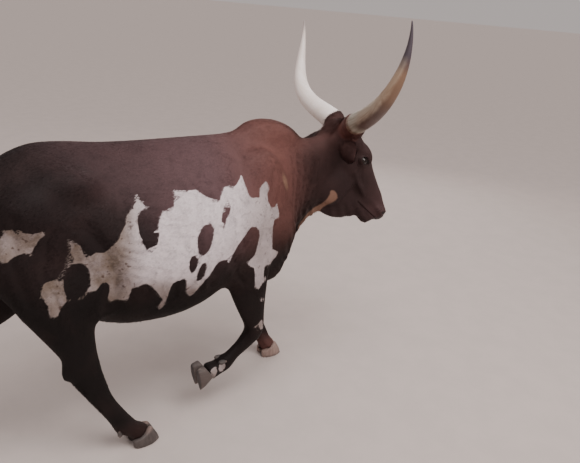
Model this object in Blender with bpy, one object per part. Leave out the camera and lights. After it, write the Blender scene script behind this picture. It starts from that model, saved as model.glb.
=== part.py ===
"""A walking longhorned bull at life size, one closed solid for each part that a person would name.

Metres, +Z up. The bull faces +X with its left side at +Y, and stands on z = 0. The forms of the
body are lofts and ellipsoids, melted into one hide by a voxel remesh, and parted by thin cuts.
"""

import math
import random
from collections import namedtuple

import bmesh
import bpy
import numpy as np
from mathutils import Matrix, Vector

# Whole body
GAP = 0.0003
BODY_VOXEL = 0.0075
TRUNK_VOXEL = 0.014
TRUNK_MELT = 16
BODY_MELT = 16
HEAD_MELT = 5
EVEN_FACES = 18500
BODY_FACES = 7350
CENTRE = Vector((0.102, -0.028, 0.0))

# Head: where the poll is, how far the face turns right, drops and leans, and how long it is
POLL_AT = Vector((0.898, -0.050, 1.273))
HEAD_TURN = math.radians(17.7)
HEAD_DROP = math.radians(52.1)
HEAD_LEAN = math.radians(-4.7)
EYE_RADIUS = 0.0205
LID = 0.0038
EYE_AT = Vector((0.156, -0.0925, -0.028))
EYE_LOOK = Vector((0.16, -0.96, 0.16))

# Trunk cross sections: how far along, height of the back and of the belly, half width, how high
# the widest level stands as a share of the depth, and how square the upper and lower halves are
Rib = namedtuple("Rib", "x top bottom half wide roof keel")
TRUNK = (
    Rib(-0.705, 1.06, 0.90, 0.070, 0.50, 2.0, 2.0),
    Rib(-0.680, 1.13, 0.82, 0.130, 0.55, 2.0, 2.0),
    Rib(-0.630, 1.185, 0.74, 0.178, 0.58, 1.9, 2.0),
    Rib(-0.560, 1.240, 0.67, 0.212, 0.62, 1.8, 2.0),
    Rib(-0.470, 1.276, 0.61, 0.232, 0.64, 1.7, 2.0),
    Rib(-0.360, 1.278, 0.570, 0.240, 0.60, 1.65, 2.1),
    Rib(-0.220, 1.266, 0.520, 0.268, 0.48, 1.65, 2.2),
    Rib(-0.050, 1.264, 0.508, 0.292, 0.43, 1.7, 2.2),
    Rib(0.100, 1.266, 0.530, 0.292, 0.43, 1.7, 2.2),
    Rib(0.250, 1.270, 0.590, 0.262, 0.45, 1.6, 2.2),
    Rib(0.380, 1.278, 0.606, 0.222, 0.48, 1.45, 2.2),
    Rib(0.500, 1.255, 0.572, 0.190, 0.48, 1.5, 2.1),
    Rib(0.590, 1.170, 0.575, 0.150, 0.46, 1.8, 2.0),
    Rib(0.645, 1.060, 0.640, 0.090, 0.50, 2.0, 2.0),
)

# Sections of a neck or limb: centre, reach toward the animal's front or top, toward its back or
# underside, and half width
Bone = namedtuple("Bone", "x y z fore aft side")
NECK = (
    Bone(0.42, 0.000, 0.990, 0.270, 0.260, 0.160),
    Bone(0.55, -0.002, 1.010, 0.245, 0.260, 0.140),
    Bone(0.67, -0.010, 1.045, 0.198, 0.215, 0.108),
    Bone(0.77, -0.024, 1.085, 0.156, 0.165, 0.092),
    Bone(0.85, -0.042, 1.125, 0.135, 0.135, 0.086),
    Bone(0.92, -0.062, 1.160, 0.110, 0.110, 0.080),
)
DEWLAP = (
    Bone(0.545, -0.003, 0.640, 0.070, 0.100, 0.040),
    Bone(0.596, -0.006, 0.696, 0.070, 0.100, 0.030),
    Bone(0.630, -0.011, 0.790, 0.060, 0.100, 0.022),
    Bone(0.704, -0.022, 0.874, 0.050, 0.080, 0.022),
    Bone(0.802, -0.044, 0.931, 0.040, 0.060, 0.024),
    Bone(0.890, -0.075, 0.975, 0.030, 0.050, 0.030),
)

# Limbs from the trunk down to the coronet
FORE_LEFT = (
    Bone(0.400, 0.125, 0.860, 0.120, 0.130, 0.070),
    Bone(0.410, 0.150, 0.720, 0.092, 0.100, 0.064),
    Bone(0.450, 0.152, 0.610, 0.070, 0.082, 0.054),
    Bone(0.500, 0.146, 0.490, 0.050, 0.058, 0.043),
    Bone(0.540, 0.140, 0.405, 0.043, 0.044, 0.040),
    Bone(0.560, 0.136, 0.355, 0.044, 0.042, 0.043),
    Bone(0.580, 0.131, 0.300, 0.034, 0.034, 0.033),
    Bone(0.607, 0.123, 0.210, 0.030, 0.034, 0.027),
    Bone(0.624, 0.116, 0.145, 0.038, 0.042, 0.035),
    Bone(0.643, 0.110, 0.100, 0.036, 0.038, 0.034),
    Bone(0.662, 0.105, 0.062, 0.044, 0.042, 0.043),
    Bone(0.666, 0.103, 0.030, 0.042, 0.040, 0.040),
)
FORE_RIGHT = (
    Bone(0.380, -0.130, 0.860, 0.120, 0.120, 0.070),
    Bone(0.360, -0.156, 0.720, 0.100, 0.114, 0.064),
    Bone(0.366, -0.162, 0.610, 0.084, 0.112, 0.056),
    Bone(0.386, -0.160, 0.500, 0.058, 0.082, 0.045),
    Bone(0.400, -0.157, 0.420, 0.046, 0.058, 0.041),
    Bone(0.398, -0.154, 0.365, 0.047, 0.044, 0.044),
    Bone(0.362, -0.150, 0.315, 0.038, 0.034, 0.034),
    Bone(0.305, -0.146, 0.262, 0.030, 0.034, 0.027),
    Bone(0.258, -0.143, 0.222, 0.038, 0.040, 0.035),
    Bone(0.225, -0.142, 0.208, 0.034, 0.036, 0.034),
    Bone(0.188, -0.141, 0.202, 0.042, 0.042, 0.043),
    Bone(0.160, -0.140, 0.200, 0.040, 0.040, 0.040),
)
HIND_RIGHT = (
    Bone(-0.450, -0.115, 0.960, 0.170, 0.210, 0.095),
    Bone(-0.445, -0.150, 0.830, 0.155, 0.200, 0.088),
    Bone(-0.435, -0.172, 0.720, 0.125, 0.165, 0.074),
    Bone(-0.425, -0.186, 0.610, 0.092, 0.105, 0.057),
    Bone(-0.411, -0.196, 0.520, 0.076, 0.064, 0.046),
    Bone(-0.396, -0.202, 0.440, 0.070, 0.060, 0.042),
    Bone(-0.370, -0.204, 0.365, 0.060, 0.047, 0.039),
    Bone(-0.322, -0.204, 0.265, 0.042, 0.039, 0.030),
    Bone(-0.268, -0.203, 0.170, 0.039, 0.041, 0.030),
    Bone(-0.243, -0.202, 0.125, 0.042, 0.044, 0.037),
    Bone(-0.210, -0.200, 0.085, 0.036, 0.038, 0.035),
    Bone(-0.182, -0.198, 0.055, 0.044, 0.042, 0.043),
    Bone(-0.174, -0.197, 0.030, 0.040, 0.036, 0.040),
)
HIND_LEFT = (
    Bone(-0.480, 0.110, 0.960, 0.200, 0.200, 0.095),
    Bone(-0.520, 0.140, 0.830, 0.180, 0.175, 0.086),
    Bone(-0.572, 0.155, 0.720, 0.162, 0.146, 0.072),
    Bone(-0.645, 0.160, 0.620, 0.126, 0.102, 0.058),
    Bone(-0.726, 0.162, 0.540, 0.086, 0.068, 0.046),
    Bone(-0.788, 0.162, 0.470, 0.064, 0.062, 0.042),
    Bone(-0.818, 0.161, 0.395, 0.052, 0.048, 0.039),
    Bone(-0.852, 0.158, 0.280, 0.034, 0.038, 0.029),
    Bone(-0.888, 0.155, 0.180, 0.035, 0.040, 0.030),
    Bone(-0.905, 0.153, 0.130, 0.042, 0.044, 0.037),
    Bone(-0.890, 0.152, 0.088, 0.036, 0.038, 0.035),
    Bone(-0.872, 0.151, 0.058, 0.044, 0.042, 0.043),
    Bone(-0.864, 0.150, 0.030, 0.040, 0.036, 0.040),
)

# Feet: middle of the sole, turn about the upright, and how far the toe points down
Foot = namedtuple("Foot", "name x y z turn drop")
FEET = (
    Foot("fore_left", 0.682, 0.102, 0.0, -4, 0),
    Foot("fore_right", 0.114, -0.140, 0.188, 2, 80),
    Foot("hind_left", -0.850, 0.150, 0.0, 4, 0),
    Foot("hind_right", -0.158, -0.198, 0.0, 3, 0),
)
LIMBS = {
    "fore_left": (FORE_LEFT, 8, "foreleg_left"),
    "fore_right": (FORE_RIGHT, 8, "foreleg_right"),
    "hind_left": (HIND_LEFT, 9, "hindleg_left"),
    "hind_right": (HIND_RIGHT, 9, "hindleg_right"),
}
CLAW_LENGTH = 0.124
CLAW_WIDTH = 0.050
CLAW_SPREAD = 0.0275
CORONET_HEIGHT = 0.056
CORONET_SLOPE = math.radians(24)

# Horns: control points in the head's frame for the right horn, and the radius along it
HORN_PATH = (
    Vector((-0.012, -0.097, 0.011)),
    Vector((-0.104, -0.250, 0.003)),
    Vector((-0.134, -0.500, -0.023)),
    Vector((-0.224, -0.516, 0.181)),
    Vector((-0.387, -0.511, 0.273)),
)
HORN_RADII = (0.052, 0.049, 0.045, 0.042, 0.038, 0.033, 0.027, 0.019, 0.010, 0.0025)

# Ears: root and tip in the head's frame for the right ear
EAR_ROOT = Vector((0.040, -0.088, -0.062))
EAR_TIP = Vector((0.035, -0.285, -0.120))
EAR_WIDTH = 0.050

TAIL = (
    Bone(-0.590, 0.000, 1.172, 0.034, 0.034, 0.038),
    Bone(-0.655, 0.000, 1.152, 0.034, 0.034, 0.036),
    Bone(-0.712, 0.001, 1.110, 0.031, 0.031, 0.033),
    Bone(-0.738, 0.003, 1.030, 0.025, 0.025, 0.026),
    Bone(-0.745, 0.006, 0.920, 0.020, 0.020, 0.020),
    Bone(-0.748, 0.012, 0.760, 0.016, 0.016, 0.016),
    Bone(-0.755, 0.018, 0.600, 0.014, 0.014, 0.014),
)
SWITCH_LOCKS = 22
SWITCH_LENGTH = 0.30


def clear_scene():
    for old in list(bpy.data.objects):
        bpy.data.objects.remove(old)


def new_object(name, bm, turn_out=True):
    if turn_out:
        bmesh.ops.recalc_face_normals(bm, faces=bm.faces)
    mesh = bpy.data.meshes.new(name)
    bm.to_mesh(mesh)
    bm.free()
    obj = bpy.data.objects.new(name, mesh)
    bpy.context.scene.collection.objects.link(obj)
    return obj


def from_object(obj):
    bm = bmesh.new()
    bm.from_mesh(obj.data)
    return bm


def between(keys, t):
    """The value on a smooth curve through evenly numbered keys, at key number t."""
    i = min(max(int(t), 0), len(keys) - 2)
    f = t - i
    p0, p1 = np.array(keys[max(i - 1, 0)], float), np.array(keys[i], float)
    p2, p3 = np.array(keys[i + 1], float), np.array(keys[min(i + 2, len(keys) - 1)], float)
    m1, m2 = (p2 - p0) / 2, (p3 - p1) / 2
    return (
        (2 * f**3 - 3 * f**2 + 1) * p1
        + (f**3 - 2 * f**2 + f) * m1
        + (3 * f**2 - 2 * f**3) * p2
        + (f**3 - f**2) * m2
    )


def bridge(bm, rings):
    """Skins a row of rings of points and caps both ends."""
    rows = [[bm.verts.new(p) for p in ring] for ring in rings]
    count = len(rows[0])
    for low, high in zip(rows, rows[1:]):
        for i in range(count):
            bm.faces.new((low[i], low[(i + 1) % count], high[(i + 1) % count], high[i]))
    bm.faces.new(rows[0])
    bm.faces.new(rows[-1])


def superellipse(angle, power):
    """Cosine and sine of a superellipse: 2 is an ellipse, more is squarer."""
    c, s = math.cos(angle), math.sin(angle)
    return (
        math.copysign(abs(c) ** (2 / power), c),
        math.copysign(abs(s) ** (2 / power), s),
    )


def trunk_form(ribs, sides=40, steps=4):
    bm = bmesh.new()
    rings = []
    for k in range((len(ribs) - 1) * steps + 1):
        rib = Rib(*between(ribs, k / steps))
        middle = rib.bottom + (rib.top - rib.bottom) * rib.wide
        ring = []
        for i in range(sides):
            angle = math.tau * i / sides
            c, s = superellipse(angle, rib.roof if math.sin(angle) > 0 else rib.keel)
            height = (rib.top - middle) if s > 0 else (middle - rib.bottom)
            ring.append((rib.x, c * rib.half, middle + s * height))
        rings.append(ring)
    bridge(bm, rings)
    return new_object("trunk_form", bm)


def path_form(bones, sides=24, steps=4, power=2.1, frame=None):
    """A tube through sections set square to the path they follow."""
    bm = bmesh.new()
    count = (len(bones) - 1) * steps
    stations = [Bone(*between(bones, k / steps)) for k in range(count + 1)]
    centres = [Vector((b.x, b.y, b.z)) for b in stations]
    rings = []
    for k, bone in enumerate(stations):
        ahead = (centres[min(k + 1, count)] - centres[max(k - 1, 0)]).normalized()
        across = Vector((0, 1, 0))
        across = (across - ahead * across.dot(ahead)).normalized()
        front = ahead.cross(across).normalized()
        ring = []
        for i in range(sides):
            c, s = superellipse(math.tau * i / sides, power)
            reach = bone.fore if s > 0 else bone.aft
            ring.append(centres[k] + across * c * bone.side + front * s * reach)
        rings.append(ring)
    if frame is not None:
        rings = [[frame @ p for p in ring] for ring in rings]
    bridge(bm, rings)
    return new_object("path_form", bm)


def egg_form(centre, radii, turn=None, frame=None, segments=20):
    """An ellipsoid, turned about its middle, for a muscle or a bony point."""
    bm = bmesh.new()
    bmesh.ops.create_uvsphere(bm, u_segments=segments, v_segments=segments // 2, radius=1)
    matrix = Matrix.Translation(centre)
    if turn is not None:
        matrix = matrix @ turn
    matrix = matrix @ Matrix.Diagonal((*radii, 1))
    if frame is not None:
        matrix = frame @ matrix
    bm.transform(matrix)
    return new_object("egg_form", bm)


def pitch(degrees):
    """A turn about the Y axis that lowers the +X end."""
    return Matrix.Rotation(math.radians(degrees), 4, "Y")


def yaw(degrees):
    return Matrix.Rotation(math.radians(degrees), 4, "Z")


def head_frame():
    """X runs down the face from the poll, Y to the animal's left, Z out of the forehead."""
    turn = Matrix.Rotation(-HEAD_TURN, 4, "Z") @ Matrix.Rotation(HEAD_DROP, 4, "Y")
    return Matrix.Translation(POLL_AT) @ turn @ Matrix.Rotation(HEAD_LEAN, 4, "X")


def merge(objects, name):
    """Joins objects into one mesh, with their surfaces left crossing."""
    bm = bmesh.new()
    for obj in objects:
        bm.from_mesh(obj.data)
        bpy.data.objects.remove(obj)
    mesh = bpy.data.meshes.new(name)
    bm.to_mesh(mesh)
    bm.free()
    obj = bpy.data.objects.new(name, mesh)
    bpy.context.scene.collection.objects.link(obj)
    return obj


def apply_modifiers(obj):
    graph = bpy.context.evaluated_depsgraph_get()
    mesh = bpy.data.meshes.new_from_object(obj.evaluated_get(graph))
    obj.modifiers.clear()
    obj.data = mesh


def remeshed(obj, voxel, rounds):
    """One closed surface around everything in the object, with its creases melted."""
    remesh = obj.modifiers.new("voxels", "REMESH")
    remesh.mode = "VOXEL"
    remesh.voxel_size = voxel
    remesh.adaptivity = 0
    if rounds:
        melt(obj, rounds)
    apply_modifiers(obj)
    return obj


def melt(obj, rounds, group=""):
    smooth = obj.modifiers.new("melt", "SMOOTH")
    smooth.iterations = rounds
    smooth.factor = 0.5
    smooth.vertex_group = group


def boolean(obj, cutter, operation="DIFFERENCE", solver="EXACT"):
    """Applies one Boolean of an object or a list of objects, which it then removes."""
    cutters = cutter if isinstance(cutter, list) else [cutter]
    group = bpy.data.collections.new("cutters")
    for piece in cutters:
        group.objects.link(piece)
    bpy.context.scene.collection.children.link(group)
    step = obj.modifiers.new("boolean", "BOOLEAN")
    step.operation = operation
    step.solver = solver
    step.operand_type = "COLLECTION"
    step.collection = group
    apply_modifiers(obj)
    for piece in cutters:
        bpy.data.objects.remove(piece)
    bpy.data.collections.remove(group)
    return obj


def islands(bm):
    """The connected bodies of a mesh, as lists of faces."""
    left = set(bm.faces)
    found = []
    while left:
        seed = left.pop()
        island = [seed]
        stack = [seed]
        while stack:
            for edge in stack.pop().edges:
                for face in edge.link_faces:
                    if face in left:
                        left.remove(face)
                        island.append(face)
                        stack.append(face)
        found.append(island)
    return found


def island_volume(faces):
    volume = 0.0
    for face in faces:
        a = face.verts[0].co
        for b, c in zip(face.verts[1:], face.verts[2:]):
            volume += a.dot(b.co.cross(c.co)) / 6
    return abs(volume)


def keep_largest(obj):
    bm = from_object(obj)
    bmesh.ops.triangulate(bm, faces=bm.faces)
    parts = islands(bm)
    parts.sort(key=island_volume)
    scraps = [face for part in parts[:-1] for face in part]
    bmesh.ops.delete(bm, geom=scraps, context="FACES")
    bm.to_mesh(obj.data)
    bm.free()
    return obj


def decimated(obj, faces, locked=None):
    """Thins an object to a number of triangles, and leaves a locked vertex group as it is."""
    now = sum(len(p.vertices) - 2 for p in obj.data.polygons)
    thin = obj.modifiers.new("thin", "DECIMATE")
    thin.ratio = min(1.0, faces / now)
    thin.use_collapse_triangulate = True
    if locked:
        thin.vertex_group = locked
        thin.invert_vertex_group = True
        thin.vertex_group_factor = 1.0
    apply_modifiers(obj)
    return obj


def copied(obj, name, inflate=0.0):
    bm = from_object(obj)
    bm.normal_update()
    moved = [v.co + v.normal * inflate for v in bm.verts]
    for vert, place in zip(bm.verts, moved):
        vert.co = place
    mesh = bpy.data.meshes.new(name)
    bm.to_mesh(mesh)
    bm.free()
    new = bpy.data.objects.new(name, mesh)
    bpy.context.scene.collection.objects.link(new)
    return new


def plate(centre, normal, reach, thickness=GAP):
    """A thin square cutter centred on a point and set square to a direction."""
    bm = bmesh.new()
    bmesh.ops.create_cube(bm, size=1)
    turn = Vector(normal).to_track_quat("Z", "X").to_matrix().to_4x4()
    bm.transform(Matrix.Translation(centre) @ turn @ Matrix.Diagonal((reach, reach, thickness, 1)))
    return new_object("plate", bm, turn_out=False)


def body_count(obj):
    bm = from_object(obj)
    count = len(islands(bm))
    bm.free()
    return count


def cut_joint(obj, centre, normal, reach):
    """Parts a body with a thin plate, moved a little where the first try leaves it whole."""
    before = body_count(obj)
    for nudge in (0.0, 0.0021, -0.0023, 0.0047, -0.0049):
        trial = copied(obj, "body")
        place = Vector(centre) + Vector(normal).normalized() * nudge
        boolean(trial, plate(place, normal, reach))
        if body_count(trial) > before:
            bpy.data.objects.remove(obj)
            return trial
        bpy.data.objects.remove(trial)
    print("no cut at", tuple(centre))
    return obj


def split_by_seeds(obj, seeds):
    """Names each connected body of an object after the seed point that lies nearest its middle."""
    bm = from_object(obj)
    parts = [part for part in islands(bm) if island_volume(part) > 1e-6]
    if len(parts) != len(seeds):
        print("cut into", len(parts), "bodies, wanted", len(seeds))
    made = {}
    middles = []
    for part in parts:
        points = np.array([v.co[:] for face in part for v in face.verts])
        middles.append(Vector((points.min(0) + points.max(0)) / 2))
    for name, seed in seeds.items():
        order = sorted(range(len(parts)), key=lambda i: (middles[i] - Vector(seed)).length)
        faces = parts[order[0]]
        piece = bmesh.new()
        index = {}
        for face in faces:
            corners = []
            for vert in face.verts:
                if vert not in index:
                    index[vert] = piece.verts.new(vert.co)
                corners.append(index[vert])
            piece.faces.new(corners)
        made[name] = new_object(name, piece)
    bm.free()
    bpy.data.objects.remove(obj)
    return made


def mirrored(vector, side):
    """A point of the right side, or its mirror on the left: side is -1 for right, 1 for left."""
    return Vector((vector[0], -vector[1] * side, vector[2]))


# Forms of the head, in the head's frame
SKULL = (
    Bone(-0.048, 0, -0.060, 0.030, 0.050, 0.050),
    Bone(-0.015, 0, -0.060, 0.082, 0.075, 0.082),
    Bone(0.050, 0, -0.065, 0.108, 0.080, 0.090),
    Bone(0.120, 0, -0.070, 0.117, 0.075, 0.092),
    Bone(0.190, 0, -0.072, 0.111, 0.065, 0.086),
    Bone(0.260, 0, -0.074, 0.094, 0.050, 0.066),
    Bone(0.340, 0, -0.076, 0.081, 0.045, 0.052),
    Bone(0.410, 0, -0.076, 0.069, 0.042, 0.048),
    Bone(0.460, 0, -0.078, 0.052, 0.042, 0.054),
    Bone(0.495, 0, -0.082, 0.036, 0.036, 0.050),
    Bone(0.512, 0, -0.085, 0.020, 0.022, 0.034),
)
JAW = (
    Bone(0.050, 0, -0.150, 0.060, 0.050, 0.048),
    Bone(0.110, 0, -0.175, 0.070, 0.095, 0.064),
    Bone(0.180, 0, -0.188, 0.080, 0.106, 0.068),
    Bone(0.250, 0, -0.185, 0.080, 0.100, 0.058),
    Bone(0.320, 0, -0.162, 0.060, 0.072, 0.045),
    Bone(0.390, 0, -0.142, 0.045, 0.048, 0.040),
    Bone(0.450, 0, -0.134, 0.030, 0.032, 0.040),
    Bone(0.485, 0, -0.128, 0.018, 0.020, 0.030),
)
# The fold of skin under the jaw
THROAT = (
    Bone(0.140, 0, -0.262, 0.030, 0.036, 0.020),
    Bone(0.220, 0, -0.282, 0.040, 0.044, 0.026),
    Bone(0.280, 0, -0.272, 0.040, 0.043, 0.026),
    Bone(0.330, 0, -0.243, 0.040, 0.040, 0.024),
    Bone(0.370, 0, -0.205, 0.030, 0.028, 0.022),
    Bone(0.400, 0, -0.176, 0.020, 0.020, 0.018),
)
NOSTRIL = (
    Bone(0.521, 0.036, -0.071, 0.004, 0.004, 0.004),
    Bone(0.512, 0.042, -0.060, 0.010, 0.010, 0.010),
    Bone(0.500, 0.050, -0.057, 0.010, 0.010, 0.011),
    Bone(0.486, 0.058, -0.062, 0.006, 0.006, 0.007),
    Bone(0.474, 0.062, -0.068, 0.003, 0.003, 0.003),
)


def head_forms(frame):
    forms = [path_form(SKULL, power=2.7, frame=frame), path_form(JAW, power=2.3, frame=frame)]
    forms.append(egg_form((-0.015, 0, -0.012), (0.040, 0.085, 0.030), frame=frame))
    forms.append(egg_form((0.478, 0, -0.100), (0.036, 0.055, 0.024), frame=frame))
    forms.append(egg_form((0.452, 0, -0.148), (0.042, 0.042, 0.026), frame=frame))
    forms.append(path_form(THROAT, frame=frame))
    for side in (-1, 1):
        # Horn seat, ridge below it, brow and eye socket
        forms.append(egg_form((-0.010, side * 0.082, -0.004), (0.057, 0.052, 0.053), frame=frame))
        forms.append(egg_form((0.055, side * 0.074, -0.012), (0.064, 0.040, 0.044), frame=frame))
        forms.append(egg_form((0.140, side * 0.066, 0.000), (0.072, 0.038, 0.040), frame=frame))
        forms.append(egg_form((0.150, side * 0.058, -0.030), (0.062, 0.042, 0.046), frame=frame))
        forms.append(egg_form((0.180, side * 0.052, -0.192), (0.088, 0.035, 0.108), frame=frame))
        forms.append(egg_form((0.260, side * 0.052, -0.092), (0.085, 0.020, 0.018),
                              yaw(-side * 8), frame=frame))
        forms.append(egg_form((0.468, side * 0.040, -0.068), (0.038, 0.026, 0.030), frame=frame))
        forms.append(egg_form((0.040, side * 0.082, -0.070), (0.030, 0.026, 0.034), frame=frame))
    return forms


def trunk_forms():
    forms = [trunk_form(TRUNK), path_form(NECK)]
    forms += [path_form(limb[:5], power=2.2) for limb in (FORE_LEFT, FORE_RIGHT)]
    forms += [path_form(limb[:5], power=2.2) for limb in (HIND_LEFT, HIND_RIGHT)]
    forms.append(egg_form((0.515, 0, 1.232), (0.180, 0.080, 0.092), pitch(12)))
    for side in (-1, 1):
        # Shoulder blade and its point, upper arm, brisket
        forms.append(egg_form((0.420, side * 0.130, 1.040), (0.125, 0.072, 0.200), pitch(-16)))
        forms.append(egg_form((0.500, side * 0.125, 0.850), (0.115, 0.078, 0.115)))
        forms.append(egg_form((0.350, side * 0.150, 0.790), (0.110, 0.066, 0.120), pitch(20)))
        forms.append(egg_form((0.520, side * 0.052, 0.630), (0.095, 0.062, 0.088), pitch(-24)))
        # Hook bones, thurl, pin bones, round of the thigh
        forms.append(egg_form((-0.410, side * 0.148, 1.150), (0.130, 0.066, 0.082), yaw(side * 12)))
        forms.append(egg_form((-0.520, side * 0.165, 1.070), (0.110, 0.074, 0.110)))
        forms.append(egg_form((-0.662, side * 0.095, 1.110), (0.052, 0.046, 0.052)))
        forms.append(egg_form((-0.560, side * 0.135, 0.900), (0.130, 0.094, 0.170)))
    # Stifles and elbows
    forms.append(egg_form((-0.345, -0.185, 0.740), (0.078, 0.064, 0.112), pitch(-14)))
    forms.append(egg_form((-0.440, 0.160, 0.750), (0.088, 0.062, 0.112), pitch(20)))
    forms.append(egg_form((0.285, -0.175, 0.690), (0.054, 0.046, 0.064)))
    forms.append(egg_form((0.335, 0.165, 0.690), (0.054, 0.046, 0.064)))
    return forms


def fine_forms():
    forms = [path_form(DEWLAP)]
    forms += [path_form(limb[2:], power=2.2) for limb in (FORE_LEFT, FORE_RIGHT)]
    forms += [path_form(limb[2:], power=2.2) for limb in (HIND_LEFT, HIND_RIGHT)]
    # The point of each hock
    forms.append(egg_form((-0.446, -0.202, 0.478), (0.026, 0.022, 0.075), pitch(12)))
    forms.append(egg_form((-0.828, 0.162, 0.512), (0.026, 0.022, 0.075), pitch(38)))
    return forms


def soft_places(obj, frame):
    """A vertex group that is full on the trunk and neck and low on the head and lower legs."""
    group = obj.vertex_groups.new(name="soft")
    inverse = frame.inverted()
    for vert in obj.data.vertices:
        place = inverse @ vert.co
        head = min(max((place.x - 0.03) / 0.06, 0.0), 1.0) if place.z > -0.34 else 0.0
        head *= 1.0 if vert.co.x > 0.7 else 0.0
        leg = min(max((0.60 - vert.co.z) / 0.12, 0.0), 1.0)
        leg *= 1.0 if abs(vert.co.y) > 0.085 or vert.co.z < 0.48 else 0.0
        group.add([vert.index], (1.0 - head) * (1.0 - 0.85 * leg), "REPLACE")


def lock_head(obj, frame):
    """A vertex group over the head, whose triangles stay finer than the body's."""
    group = obj.vertex_groups.new(name="locked")
    inverse = frame.inverted()
    for vert in obj.data.vertices:
        place = inverse @ vert.co
        inside = -0.06 < place.x < 0.56 and abs(place.y) < 0.16 and -0.30 < place.z < 0.08
        group.add([vert.index], 1.0 if inside else 0.0, "REPLACE")


def foot_frame(foot):
    turn = Matrix.Rotation(math.radians(foot.turn), 4, "Z") @ pitch(foot.drop)
    return Matrix.Translation((foot.x, foot.y, foot.z)) @ turn


def coronet(foot, lift=0.0):
    """Centre and direction of the plane where the hide ends and the claws begin."""
    frame = foot_frame(foot)
    normal = Vector((-math.sin(CORONET_SLOPE), 0, math.cos(CORONET_SLOPE)))
    centre = Vector((-0.016, 0, CORONET_HEIGHT)) + normal * lift
    return frame @ centre, (frame.to_3x3() @ normal).normalized()


def claw_object(name, foot, side):
    """One claw: flat sole, straight inner wall, rounded outer wall, toe bent inward."""
    bm = bmesh.new()
    rings = []
    levels = 3
    sides = 14
    for k in range(levels + 1):
        up = k / levels
        ring = []
        for i in range(sides):
            angle = math.tau * i / sides
            c, s = superellipse(angle, 2.3)
            length = CLAW_LENGTH / 2 * (1.0 - 0.30 * up)
            x = c * length + 0.004 - 0.020 * up
            toe = max(0.0, c)
            outer = CLAW_WIDTH * (0.98 - 0.08 * up) * (1 - 0.42 * toe**2)
            y = outer * (0.5 + 0.5 * s)
            y = max(y, 0.0) + 0.006 * toe**2 * (1 - up)
            bevel = 0.004 if k == 0 else 0.0
            x -= math.copysign(bevel, c) * abs(c)
            y += bevel * (-s)
            top = CORONET_HEIGHT + math.tan(CORONET_SLOPE) * (x + 0.016)
            ring.append(Vector((x, side * (0.0032 + y), top * up if up < 1 else top)))
        rings.append(ring)
    bridge(bm, rings)
    bm.transform(foot_frame(foot))
    claw = new_object(name, bm)
    centre, normal = coronet(foot)
    cut = plate(centre + normal * 0.05, normal, 0.3, 0.1)
    boolean(claw, cut)
    return keep_largest(claw)


def dewclaw_object(name, limb, index, side):
    """A small blunt cone behind the fetlock, whose root is sunk into the leg."""
    bone = limb[index]
    before, after = limb[index - 1], limb[index + 1]
    ahead = Vector((after.x - before.x, after.y - before.y, after.z - before.z)).normalized()
    across = Vector((0, 1, 0))
    across = (across - ahead * across.dot(ahead)).normalized()
    front = ahead.cross(across).normalized()
    along = (ahead * 0.80 - front * 0.60 + across * side * 0.12).normalized()
    root = Vector((bone.x, bone.y, bone.z)) - front * bone.aft * 0.70 + across * side * 0.020
    wide = along.cross(front).normalized()
    deep = wide.cross(along).normalized()
    bm = bmesh.new()
    rings = []
    for reach, radius in ((-0.012, 0.011), (0.006, 0.0125), (0.018, 0.0110), (0.025, 0.006)):
        ring = []
        for i in range(8):
            a = math.tau * i / 8
            ring.append(root + along * reach + wide * math.cos(a) * radius
                        + deep * math.sin(a) * radius * 0.85)
        rings.append(ring)
    bridge(bm, rings)
    return new_object(name, bm)


def horn_object(name, side, frame):
    bm = bmesh.new()
    rings = []
    count = 15
    sides = 12
    n = len(HORN_PATH) - 1
    points = []
    for k in range(count + 1):
        t = k / count
        place = Vector((0, 0, 0))
        for i, p in enumerate(HORN_PATH):
            place += mirrored(p, side) * math.comb(n, i) * t**i * (1 - t) ** (n - i)
        points.append(place)
    root = points[0] - (points[1] - points[0]).normalized() * 0.018
    points.insert(0, root)
    up = Vector((0, 0, 1))
    last = len(points) - 1
    for k, place in enumerate(points):
        ahead = (points[min(k + 1, last)] - points[max(k - 1, 0)]).normalized()
        across = up.cross(ahead).normalized()
        over = ahead.cross(across).normalized()
        radius = between([(r,) for r in HORN_RADII], max(0, k - 1) / count * (len(HORN_RADII) - 1))[0]
        ring = []
        for i in range(sides):
            a = math.tau * i / sides
            ring.append(place + across * math.cos(a) * radius + over * math.sin(a) * radius * 0.92)
        rings.append(ring)
    bridge(bm, [[frame @ p for p in ring] for ring in rings])
    return new_object(name, bm)


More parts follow.
